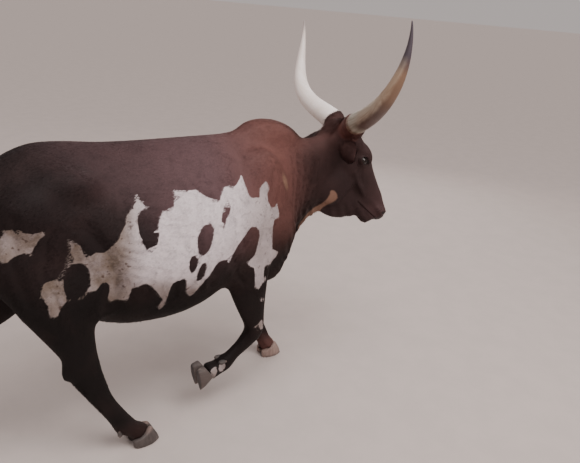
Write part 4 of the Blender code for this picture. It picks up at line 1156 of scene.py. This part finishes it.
def horn_material(name, near):
    """The near horn is brown below, partly its own colour and partly painted shade, with a dark tip,
    the far one pale to its tip.
    """
    n = Nodes(name)
    if not n.fresh:
        return n.material
    looks = bpy.context.scene.bull_horns
    along = n.value("along")
    under = n.value("under")
    grain = n.vector("grain")
    streak = n.noise(grain, 60.0, 4.0, 0.6)
    blur = n.math("MULTIPLY", n.math("SUBTRACT", n.noise(n.place(), 16.0, 3.0, 0.6), 0.5), 0.30)
    if near:
        pale = n.blend(n.span(streak, 0.3, 0.7), looks.worn, looks.worn_dark)
        root = n.blend(n.span(streak, 0.35, 0.65), looks.root, looks.root_dark)
        base = n.blend(n.span(along, 0.22, 0.36), root, pale)
        # Near horn: its underside turns brown, partly the horn's own brown and partly painted shade
        stain_and_shade = n.math("ADD", under, blur)
        stain_and_shade = n.math("MULTIPLY", n.span(stain_and_shade, 0.32, 0.60), n.span(along, 0.18, 0.30))
        base = n.blend(n.math("MULTIPLY", stain_and_shade, 0.96), base, looks.brown)
        rust = n.math("MULTIPLY", n.span(along, 0.46, 0.62), n.span(along, 0.84, 0.72))
        base = n.blend(n.math("MULTIPLY", rust, 0.50), base, looks.rust)
        flaky = n.blend(n.span(streak, 0.38, 0.62), looks.flaky, looks.flaky_dark)
        base = n.blend(n.span(n.math("ADD", along, n.math("MULTIPLY", blur, 0.2)), 0.19, 0.145),
                       base, flaky)
        base = n.blend(n.span(n.math("ADD", along, n.math("MULTIPLY", blur, 0.3)), 0.72, 0.84),
                       base, looks.tip)
    else:
        base = n.blend(n.span(streak, 0.3, 0.7), looks.cream, looks.cream_dark)
        stain_and_shade = n.math("ADD", under, blur)
        stain_and_shade = n.math("MULTIPLY", n.span(stain_and_shade, 0.50, 0.90), n.span(along, 0.50, 0.20))
        base = n.blend(n.math("MULTIPLY", stain_and_shade, 0.60), base, looks.rust)
        base = n.blend(n.span(along, 0.90, 1.0, 0.0, 0.6), base, looks.tip)
    n.surface_set(Base_Color=base, Roughness=n.span(streak, 0.3, 0.7, 0.40, 0.58))
    ridges = n.add("ShaderNodeTexWave", wave_type="BANDS", bands_direction="X")
    push = n.add("ShaderNodeCombineXYZ")
    n.wire(along, push.inputs[0])
    n.wire(push.outputs[0], ridges.inputs["Vector"])
    ridges.inputs["Scale"].default_value = 16.0
    ridges.inputs["Distortion"].default_value = 1.6
    height = n.math("MULTIPLY", ridges.outputs["Fac"], n.span(along, 0.40, 0.05))
    first = n.bump(height, 0.35, 0.0016)
    n.surface_set(Normal=n.bump(streak, 0.30, 0.0008, first), Coat_Weight=0.08, Coat_Roughness=0.35)
    return n.material


def hoof_material():
    """Grey-brown hoof wall with fine upright streaks, a paler coronet and a dark sole."""
    n = Nodes("hoof wall")
    if not n.fresh:
        return n.material
    looks = bpy.context.scene.bull_horns
    up = n.value("up")
    streak = n.noise(n.vector("grain"), 55.0, 4.0, 0.6)
    dust = n.noise(n.place(), 38.0, 4.0, 0.6)
    base = n.blend(n.span(streak, 0.35, 0.65), looks.hoof, looks.hoof_dark)
    light = n.blend(n.span(streak, 0.32, 0.62), looks.band_dark, looks.band)
    base = n.blend(n.value("pale"), base, light)
    base = n.blend(n.span(up, 0.74, 1.0, 0.0, 0.5), base, light)
    # Painted shade: darker blotches on the lowest part of each hoof
    bottom_shade = n.math("MULTIPLY", n.span(dust, 0.42, 0.60), n.span(up, 0.30, 0.0))
    base = n.blend(n.math("MULTIPLY", bottom_shade, 0.7), base, looks.hoof_dark)
    base = n.blend(n.math("MULTIPLY", n.span(dust, 0.50, 0.75), n.span(up, 0.6, 0.0)), base,
                   looks.dust)
    base = n.blend(n.value("sole"), base, looks.sole)
    n.surface_set(Base_Color=base, Roughness=n.span(dust, 0.3, 0.7, 0.50, 0.75))
    push = n.add("ShaderNodeCombineXYZ")
    n.wire(n.math("MULTIPLY", up, 0.9), push.inputs[0])
    rings = n.noise(push.outputs[0], 9.0, 2.0, 0.5)
    first = n.bump(rings, 0.35, 0.0016)
    second = n.bump(streak, 0.25, 0.0006, first)
    n.surface_set(Normal=n.bump(dust, 0.3, 0.0010, second))
    return n.material


def eye_material():
    n = Nodes("wet eye")
    if not n.fresh:
        return n.material
    looks = bpy.context.scene.bull_eyes
    rim = n.value("rim")
    pupil = n.value("pupil")
    turn = n.value("turn")
    push = n.add("ShaderNodeCombineXYZ")
    n.wire(turn, push.inputs[0])
    n.wire(n.math("MULTIPLY", rim, 0.15), push.inputs[1])
    fibre = n.noise(push.outputs[0], 26.0, 3.0, 0.6)
    iris = n.blend(fibre, looks.iris, looks.iris_dark)
    iris = n.blend(n.span(rim, 0.80, 0.99), iris, looks.pupil)
    base = n.blend(n.span(pupil, 1.08, 0.94), iris, looks.pupil)
    white = n.blend(n.span(rim, 1.10, 1.55), looks.white_edge, looks.white)
    base = n.blend(n.span(rim, 0.99, 1.07), base, white)
    n.surface_set(
        Base_Color=base, Roughness=0.10, Coat_Weight=0.25, Coat_Roughness=0.03,
        Specular_IOR_Level=0.3)
    return n.material


def plain_material(name, shade, roughness, grain_scale, share):
    """One colour with fine streaks, for hair, lids and the floor."""
    n = Nodes(name)
    if not n.fresh:
        return n.material
    fine = n.noise(n.place(), grain_scale, 3.0, 0.6)
    dim = tuple(c * share for c in shade)
    n.surface_set(Base_Color=n.blend(n.span(fine, 0.35, 0.65), shade, dim), Roughness=roughness)
    return n.material


# Horns, hooves, eyes, tail

def bezier(path, share):
    """Points on a Bezier curve of any degree."""
    last = len(path) - 1
    total = np.zeros((len(share), 3))
    for i, p in enumerate(path):
        total += math.comb(last, i) * (share**i * (1 - share) ** (last - i))[:, None] * np.array(p)
    return total


def horn_line(side):
    """Middle line of a horn from inside the skull to its tip, share of its length, and radii."""
    path = [np.array(p) * np.array((1, -side, 1)) for p in HORN_PATH]
    share = np.linspace(0, 1, 110)
    spine = bezier(path, share)
    out = unit((spine[1] - spine[0])[None])[0]
    roots = np.array([spine[0] - out * back for back in (0.034, 0.022, 0.010)])
    spine = from_head(np.vstack((roots, spine)))
    share = np.concatenate(([-0.05, -0.03, -0.015], share))
    radii = np.interp(share, np.linspace(0, 1, len(HORN_RADII)), HORN_RADII)
    radii[:3] *= (0.55, 0.80, 0.94)
    return spine, share, radii


def round_tube(name, spine, radii, roundness, closed=False):
    """A round-ended tube along a bent line, its radius changing from point to point."""
    curve = bpy.data.curves.new(name, "CURVE")
    curve.dimensions = "3D"
    curve.bevel_depth = 1.0
    curve.bevel_resolution = roundness
    curve.use_fill_caps = not closed
    spline = curve.splines.new("POLY")
    spline.points.add(len(spine) - 1)
    spline.use_cyclic_u = closed
    for point, place, radius in zip(spline.points, spine - CENTRE, radii):
        point.co = (*place, 1)
        point.radius = radius
    bent = link(name + "_curve", curve)
    graph = bpy.context.evaluated_depsgraph_get()
    mesh = bpy.data.meshes.new_from_object(bent.evaluated_get(graph))
    bpy.data.objects.remove(bent)
    bpy.data.curves.remove(curve)
    bm = bmesh.new()
    bm.from_mesh(mesh)
    bmesh.ops.remove_doubles(bm, verts=bm.verts, dist=1e-5)
    bmesh.ops.recalc_face_normals(bm, faces=bm.faces)
    bm.to_mesh(mesh)
    bm.free()
    mesh.name = name
    mesh.materials.clear()
    smooth_faces(mesh)
    return link(name, mesh)


class BULL_OT_horns(bpy.types.Operator):
    """Two long horns, ringed near the root"""
    bl_idname = "bull.horns"
    bl_label = "Horns"

    def execute(self, context):
        for word, side in SIDES:
            spine, share, radii = horn_line(side)
            near_root = (1 - ramp(share, 0.04, 0.42)) * (share > 0)
            radii = radii * (1 + 0.010 * np.sin(share * 150 + 2 * np.sin(share * 31)) * near_root)
            covered = 1 - ramp(share, SKIRT_REACH[side] - 0.03, SKIRT_REACH[side])
            radii = radii * (1 - 0.06 * covered)
            self.shell(word, side, spine, share, radii)
        return {"FINISHED"}

    def shell(self, word, side, spine, share, radii):
        piece = round_tube("horn_shell_" + word, spine, radii, 11)
        mesh = piece.data
        places = body_places(mesh)
        nearest = ((places[:, None] - spine[None]) ** 2).sum(2).argmin(1)
        off = unit(places - spine[nearest])
        turn = np.arctan2(off[:, 2], off[:, 1])
        attribute(mesh, "along", np.clip(share[nearest], 0, 1))
        # How much each point faces down: the near horn's brown painted shade and the far horn's
        # rusty stain follow it
        attribute(mesh, "under", 0.5 + 0.5 * off @ np.array((0.52, -0.34, -0.78)))
        reach = share[nearest] * 1.1
        grain = np.stack((np.cos(turn) * 0.9, np.sin(turn) * 0.9, reach), 1) * 0.1
        attribute(mesh, "grain", grain, "FLOAT_VECTOR")
        mesh.materials.append(horn_material("horn " + word, side < 0))
        dress(piece, "horn", "horn_" + word)


class BULL_OT_hooves(bpy.types.Operator):
    """Claws and dewclaws with rounded edges"""
    bl_idname = "bull.hooves"
    bl_label = "Hooves"

    def execute(self, context):
        for foot in FEET:
            for word, _ in SIDES:
                for kind, voxel, rounds in CLAWS:
                    node = kind + "_" + foot + "_" + word
                    self.claw(node, voxel, rounds, foot)
        return {"FINISHED"}

    def claw(self, node, voxel, rounds, foot):
        piece = voxel_remesh(gathered((node,), "hoof_" + node), voxel)
        mesh = piece.data
        places = places_of(mesh)
        places = softened(places, edges_of(mesh), np.full(len(places), 0.7), rounds)
        move_to(mesh, places)
        low, high = places.min(0), places.max(0)
        # The lifted foot hangs with its sole to the rear
        down = SOLE_FACES if foot == "fore_right" else np.array((0.0, 0.0, -1.0))
        level = places @ -down
        up = (level - level.min()) / (level.max() - level.min())
        attribute(mesh, "up", up)
        under = ramp(normals_of(mesh) @ down, 0.72, 0.90) * (up < 0.4)
        attribute(mesh, "sole", under)
        pale = HOOF_PALE[foot] if node.startswith("claw") else 0.0
        attribute(mesh, "pale", np.full(len(places), pale))
        middle = (low + high) / 2
        side = np.cross(down, (0.31, 0.95, 0.05))
        front = np.cross(side, down)
        turn = np.arctan2((places - middle) @ side, (places - middle) @ front)
        grain = np.stack((np.cos(turn), np.sin(turn), up * 0.20), 1) * 0.06
        attribute(mesh, "grain", grain, "FLOAT_VECTOR")
        smooth_faces(mesh)
        mesh.materials.clear()
        mesh.materials.append(hoof_material())
        dress(piece, "hoof", node)


class BULL_OT_eyes(bpy.types.Operator):
    """Eyeballs with a bulging cornea, lid margins and lashes"""
    bl_idname = "bull.eyes"
    bl_label = "Eyes"

    def execute(self, context):
        for word, side in SIDES:
            flip = np.array((1, -side, 1))
            centre = from_head((EYE_AT * flip)[None])[0]
            look = unit((EYE_LOOK * flip)[None] @ HEAD[:3, :3].T)[0]
            ahead = unit((np.array([[1.0, 0, 0]]) @ HEAD[:3, :3].T))[0]
            ahead = unit((ahead - look * (ahead @ look))[None])[0]
            over = np.cross(look, ahead)
            if over[2] < 0:
                over = -over
            self.ball(word, centre, look, ahead, over)
            self.lids(word, centre, look, ahead, over)
        return {"FINISHED"}

    def ball(self, word, centre, look, ahead, over):
        bm = bmesh.new()
        bmesh.ops.create_uvsphere(bm, u_segments=64, v_segments=40, radius=1)
        piece = new_piece("eyeball_" + word, bm)
        mesh = piece.data
        unit_places = places_of(mesh)
        from_axis = np.arccos(np.clip(unit_places[:, 2], -1, 1))
        bulge = 1 + 0.055 * np.exp(-(from_axis / 0.50) ** 4)
        local = unit_places * bulge[:, None] * EYE_RADIUS
        places = centre + local[:, :1] * ahead + local[:, 1:2] * over + local[:, 2:] * look
        move_to(mesh, places - CENTRE)
        attribute(mesh, "rim", from_axis / 0.72)
        level = np.hypot(unit_places[:, 0] / 0.42, unit_places[:, 1] / 0.20)
        attribute(mesh, "pupil", np.where(unit_places[:, 2] > 0, level, 9))
        attribute(mesh, "turn", np.arctan2(unit_places[:, 1], unit_places[:, 0]))
        bm = bmesh.new()
        bm.from_mesh(mesh)
        bmesh.ops.recalc_face_normals(bm, faces=bm.faces)
        bm.to_mesh(mesh)
        bm.free()
        smooth_faces(mesh)
        mesh.materials.append(eye_material())
        dress(piece, "eye", "eye_" + word)

    def lids(self, word, centre, look, ahead, over):
        """A thick dark margin along the almond opening, and lashes above."""
        count = 72
        turn = np.linspace(0, 2 * math.pi, count, endpoint=False)
        s = np.sin(turn)
        wide = 0.0198 * np.cos(turn)
        lift = np.where(s > 0, 0.0122, 0.0102) * np.sign(s) * np.abs(s) ** 1.15
        inward = np.sqrt(np.maximum((EYE_RADIUS + 0.0012) ** 2 - wide**2 - lift**2, 0.00005))
        loop = centre + wide[:, None] * ahead + lift[:, None] * over + inward[:, None] * look
        piece = round_tube("lid_margin_" + word, loop, np.full(count, 0.0016), 4, True)
        looks = bpy.context.scene.bull_eyes
        piece.data.materials.append(plain_material("lid skin", looks.lid, 0.60, 300.0, 0.7))
        dress(piece, "hide")
        draw = np.random.default_rng(SEED + 5)
        picked = draw.choice(np.flatnonzero(s > 0.1), LASHES)
        roots = loop[picked] + draw.normal(0, 0.0006, (LASHES, 3)) + look * 0.0022
        out = unit(look * 0.9 + over * 0.35 + ahead * (wide[picked] / 0.02)[:, None] * 0.35)
        normals = unit(np.cross(out, np.cross(np.tile(over, (LASHES, 1)), out)))
        uv = draw.uniform(0.05, 0.95, (LASHES, 2))
        mesh, _ = tufts_mesh(
            "lashes_" + word, roots, normals, out, draw.uniform(0.012, 0.021, LASHES),
            np.full(LASHES, 0.0007), draw.uniform(0.0, 0.35, LASHES), uv, draw,
            draw.normal(0, 0.1, LASHES))
        mesh.materials.append(plain_material("black hair", looks.lash, 0.5, 300.0, 0.7))
        dress(link("lashes_" + word, mesh), "switch_hair")


class BULL_OT_tail(bpy.types.Operator):
    """The switch: long strands that hang from the end of the tail"""
    bl_idname = "bull.tail_hair"
    bl_label = "Tail switch"

    def execute(self, context):
        low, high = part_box("tail_switch")
        top = np.array(((low.x + high.x) / 2, (low.y + high.y) / 2, high.z)) + CENTRE
        draw = np.random.default_rng(SEED + 1)
        count = SWITCH_STRANDS
        depth = draw.random(count) ** 1.2
        turn = draw.uniform(0, 2 * math.pi, count)
        radial = np.stack((np.cos(turn), np.sin(turn), np.zeros(count)), 1)
        radius = 0.012 + 0.008 * np.sin(np.pi * depth)
        roots = top + radial * radius[:, None]
        roots[:, 2] = top[2] - 0.006 - 0.150 * depth
        length = draw.uniform(0.10, 0.155, count) + 0.05 * depth
        length = np.minimum(length, roots[:, 2] - (low.z + 0.002))
        down = np.tile(np.array((0, 0, -1.0)), (count, 1))
        mesh, _ = tufts_mesh(
            "switch_strands", roots, radial, down, length, draw.uniform(0.0016, 0.0030, count),
            draw.uniform(0.02, 0.12, count), draw.uniform(0.02, 0.98, (count, 2)), draw,
            draw.normal(0, 0.05, count))
        looks = context.scene.bull_eyes
        hair = plain_material("switch hair", looks.lash, 0.5, 240.0, 0.55)
        mesh.materials.append(hair)
        dress(link("switch_strands", mesh), "switch_hair", "tail_switch")
        bm = bmesh.new()
        bmesh.ops.create_uvsphere(bm, u_segments=20, v_segments=14, radius=1)
        bmesh.ops.scale(bm, verts=bm.verts, vec=(0.018, 0.017, 0.100))
        bmesh.ops.translate(bm, verts=bm.verts, vec=Vector(top - CENTRE) + Vector((0, 0, -0.095)))
        core = new_piece("switch_core", bm)
        smooth_faces(core.data)
        core.data.materials.append(hair)
        dress(core, "switch_hair")
        return {"FINISHED"}


class BULL_OT_stage(bpy.types.Operator):
    """Pale floor, soft lights and the picture's camera"""
    bl_idname = "bull.stage"
    bl_label = "Stage"

    def execute(self, context):
        looks = context.scene.bull_stage
        bm = bmesh.new()
        bmesh.ops.create_circle(bm, cap_ends=True, segments=128, radius=FLOOR_RADIUS)
        floor = new_piece("floor", bm)
        floor.data.materials.append(plain_material("floor", looks.floor, 0.9, 6.0, 0.96))
        world = bpy.data.worlds.new("studio")
        context.scene.world = world
        world.use_nodes = True
        sky = world.node_tree.nodes["Background"]
        sky.inputs["Color"].default_value = (*looks.sky, 1.0)
        sky.inputs["Strength"].default_value = looks.sky_strength
        # Name, kind, place, power and width
        lamps = (
            ("key", "AREA", (0.9, -2.6, 4.2), looks.key, 2.4),
            ("fill", "AREA", (3.4, 2.6, 2.6), looks.fill, 3.0),
            ("sun", "SUN", (-1.0, -1.2, 5.0), looks.sun, 0.0),
        )
        for name, kind, place, power, size in lamps:
            lamp = bpy.data.lights.new(name, kind)
            lamp.energy = power
            lamp.color = looks.lamp
            if kind == "AREA":
                lamp.size = size
            else:
                lamp.angle = SUN_ANGLE
            shown = bpy.data.objects.new(name, lamp)
            shown.location = place
            aim = LAMPS_AIM - Vector(place)
            shown.rotation_euler = aim.to_track_quat("-Z", "Y").to_euler()
            context.scene.collection.objects.link(shown)
        right, up, forward = camera_axes()
        lens = bpy.data.cameras.new("picture")
        lens.sensor_fit = "HORIZONTAL"
        lens.sensor_width = SENSOR
        lens.lens = FOCAL_PIXELS / IMAGE_WIDTH * SENSOR
        lens.clip_end = FAR_CLIP
        camera = bpy.data.objects.new("picture", lens)
        place = Matrix((
            (right.x, up.x, -forward.x, CAMERA_AT.x - CENTRE[0]),
            (right.y, up.y, -forward.y, CAMERA_AT.y - CENTRE[1]),
            (right.z, up.z, -forward.z, CAMERA_AT.z - CENTRE[2]),
            (0, 0, 0, 1),
        ))
        camera.matrix_world = place
        context.scene.collection.objects.link(camera)
        context.scene.camera = camera
        return {"FINISHED"}


# What a user would change

def shade_prop(name, description, default):
    return bpy.props.FloatVectorProperty(
        name=name, description=description, default=default, subtype="COLOR", size=3,
        min=0.0, max=1.0)


def power_prop(name, description, default):
    return bpy.props.FloatProperty(
        name=name, description=description, default=default, min=0.0, unit="POWER")


class BullCoat(bpy.types.PropertyGroup):
    # The tone mixes these coat colours: the lighter back and the blackish rump, belly and legs are
    # partly the coat's own colours and partly painted light and shade, and the back's cool
    # purple-grey cast is partly a painted sheen
    dark: shade_prop("Dark coat", "Blackish brown of rump, belly and legs", (0.0068, 0.0046, 0.0044))
    deep: shade_prop("Deep brown", "Brown that shows in the dark coat", (0.0170, 0.0098, 0.0090))
    back: shade_prop("Back", "Cool brown of the back", (0.112, 0.062, 0.066))
    neck: shade_prop("Neck", "Warm red-brown of neck and shoulder", (0.160, 0.068, 0.058))
    white: shade_prop("White", "White of the patches", (0.73, 0.64, 0.66))
    tan: shade_prop("Tan tinge", "Tinge of the rear patches", (0.175, 0.130, 0.102))
    freckle: shade_prop("Grey mottle", "Greyish blotches in the white", (0.36, 0.31, 0.33))
    fleck: shade_prop("Flecks", "Small dark flecks in the white", (0.085, 0.052, 0.040))
    throat: shade_prop("Throat", "Tan of the throat patch", (0.250, 0.142, 0.100))
    muzzle: shade_prop("Muzzle", "Naked skin of the nose", (0.040, 0.024, 0.026))
    # Painted shade: the near-black of the nostril grooves
    nostril: shade_prop("Nostril", "Inside of the nostrils", (0.010, 0.006, 0.006))


class BullHorns(bpy.types.PropertyGroup):
    cream: shade_prop("Cream", "Pale far horn", (0.96, 0.87, 0.84))
    cream_dark: shade_prop("Cream streaks", "Darker streaks of the far horn", (0.86, 0.75, 0.68))
    worn: shade_prop("Worn cream", "Upper side of the near horn", (0.46, 0.38, 0.30))
    worn_dark: shade_prop("Worn streaks", "Streaks of the near horn", (0.30, 0.23, 0.17))
    root: shade_prop("Root", "Greyish horn at the near root", (0.42, 0.39, 0.32))
    root_dark: shade_prop("Root streaks", "Darker streaks at the root", (0.29, 0.26, 0.20))
    tip: shade_prop("Tip", "Dark horn at the tip", (0.060, 0.045, 0.058))
    flaky: shade_prop("Flaky root", "Brown horn next to the hide", (0.250, 0.150, 0.100))
    flaky_dark: shade_prop("Flaky streaks", "Its darker streaks", (0.120, 0.062, 0.046))
    # The near horn's underside: partly its own brown, partly painted shade
    brown: shade_prop("Underside", "Brown underside of the near horn", (0.092, 0.050, 0.040))
    rust: shade_prop("Rust", "Rusty stain on the horns", (0.34, 0.20, 0.115))
    hoof: shade_prop("Hoof", "Hoof horn", (0.082, 0.068, 0.064))
    hoof_dark: shade_prop("Hoof streaks", "Darker hoof horn", (0.048, 0.039, 0.037))
    band: shade_prop("Coronet", "Pale hoof and coronet", (0.36, 0.250, 0.215))
    band_dark: shade_prop("Pale streaks", "Darker streaks of a pale hoof", (0.25, 0.165, 0.140))
    dust: shade_prop("Dust", "Dry dust on the hooves", (0.21, 0.17, 0.15))
    sole: shade_prop("Sole", "Worn sole", (0.060, 0.050, 0.050))


class BullEyes(bpy.types.PropertyGroup):
    iris: shade_prop("Iris", "Brown of the iris", (0.034, 0.015, 0.008))
    iris_dark: shade_prop("Iris fibres", "Dark of the iris", (0.012, 0.006, 0.004))
    pupil: shade_prop("Pupil", "Pupil and limbus", (0.002, 0.002, 0.003))
    white: shade_prop("Eye white", "White of the eye", (0.26, 0.21, 0.19))
    white_edge: shade_prop("Eye white edge", "Brown edge of the eye white", (0.045, 0.028, 0.022))
    lid: shade_prop("Lids", "Skin of the lid margins", (0.010, 0.007, 0.007))
    lash: shade_prop("Hair", "Lashes and tail switch", (0.012, 0.008, 0.008))


class BullStage(bpy.types.PropertyGroup):
    floor: shade_prop("Floor", "Pale floor", (0.56, 0.485, 0.455))
    sky: shade_prop("Surroundings", "Light from all round", (1.0, 0.90, 0.87))
    lamp: shade_prop("Lamps", "Colour of the soft lamps", (1.0, 0.96, 0.94))
    sky_strength: bpy.props.FloatProperty(
        name="Surroundings strength", description="How bright the surroundings are",
        default=0.50, min=0.0)
    key: power_prop("Key", "Power of the lamp over the shoulder", 130.0)
    fill: power_prop("Fill", "Power of the lamp ahead", 40.0)
    sun: bpy.props.FloatProperty(
        name="Overhead", description="Strength of the broad light from above", default=1.25,
        min=0.0)


STEPS = (
    BULL_OT_skin, BULL_OT_coat, BULL_OT_horns, BULL_OT_hooves, BULL_OT_eyes, BULL_OT_tail,
    BULL_OT_stage,
)
GROUPS = (
    ("bull_coat", BullCoat), ("bull_horns", BullHorns), ("bull_eyes", BullEyes),
    ("bull_stage", BullStage),
)


class BULL_PT_panel(bpy.types.Panel):
    """Every piece and its settings"""
    bl_label = "Longhorned bull"
    bl_idname = "BULL_PT_panel"
    bl_space_type = "VIEW_3D"
    bl_region_type = "UI"
    bl_category = "Bull"

    def draw(self, context):
        for key, group in GROUPS:
            box = self.layout.box()
            box.label(text=group.__name__)
            for name in group.__annotations__:
                box.prop(getattr(context.scene, key), name)
        for step in STEPS:
            self.layout.operator(step.bl_idname)


def register():
    for key, group in GROUPS:
        bpy.utils.register_class(group)
        setattr(bpy.types.Scene, key, bpy.props.PointerProperty(type=group))
    for step in (*STEPS, BULL_PT_panel):
        bpy.utils.register_class(step)


def unregister():
    for step in (*STEPS, BULL_PT_panel):
        bpy.utils.unregister_class(step)
    for key, group in GROUPS:
        delattr(bpy.types.Scene, key)
        bpy.utils.unregister_class(group)


def main():
    register()
    bpy.ops.bull.skin()
    bpy.ops.bull.coat()
    bpy.ops.bull.horns()
    bpy.ops.bull.hooves()
    bpy.ops.bull.eyes()
    bpy.ops.bull.tail_hair()
    bpy.ops.bull.stage()


if __name__ == "__main__":
    main()
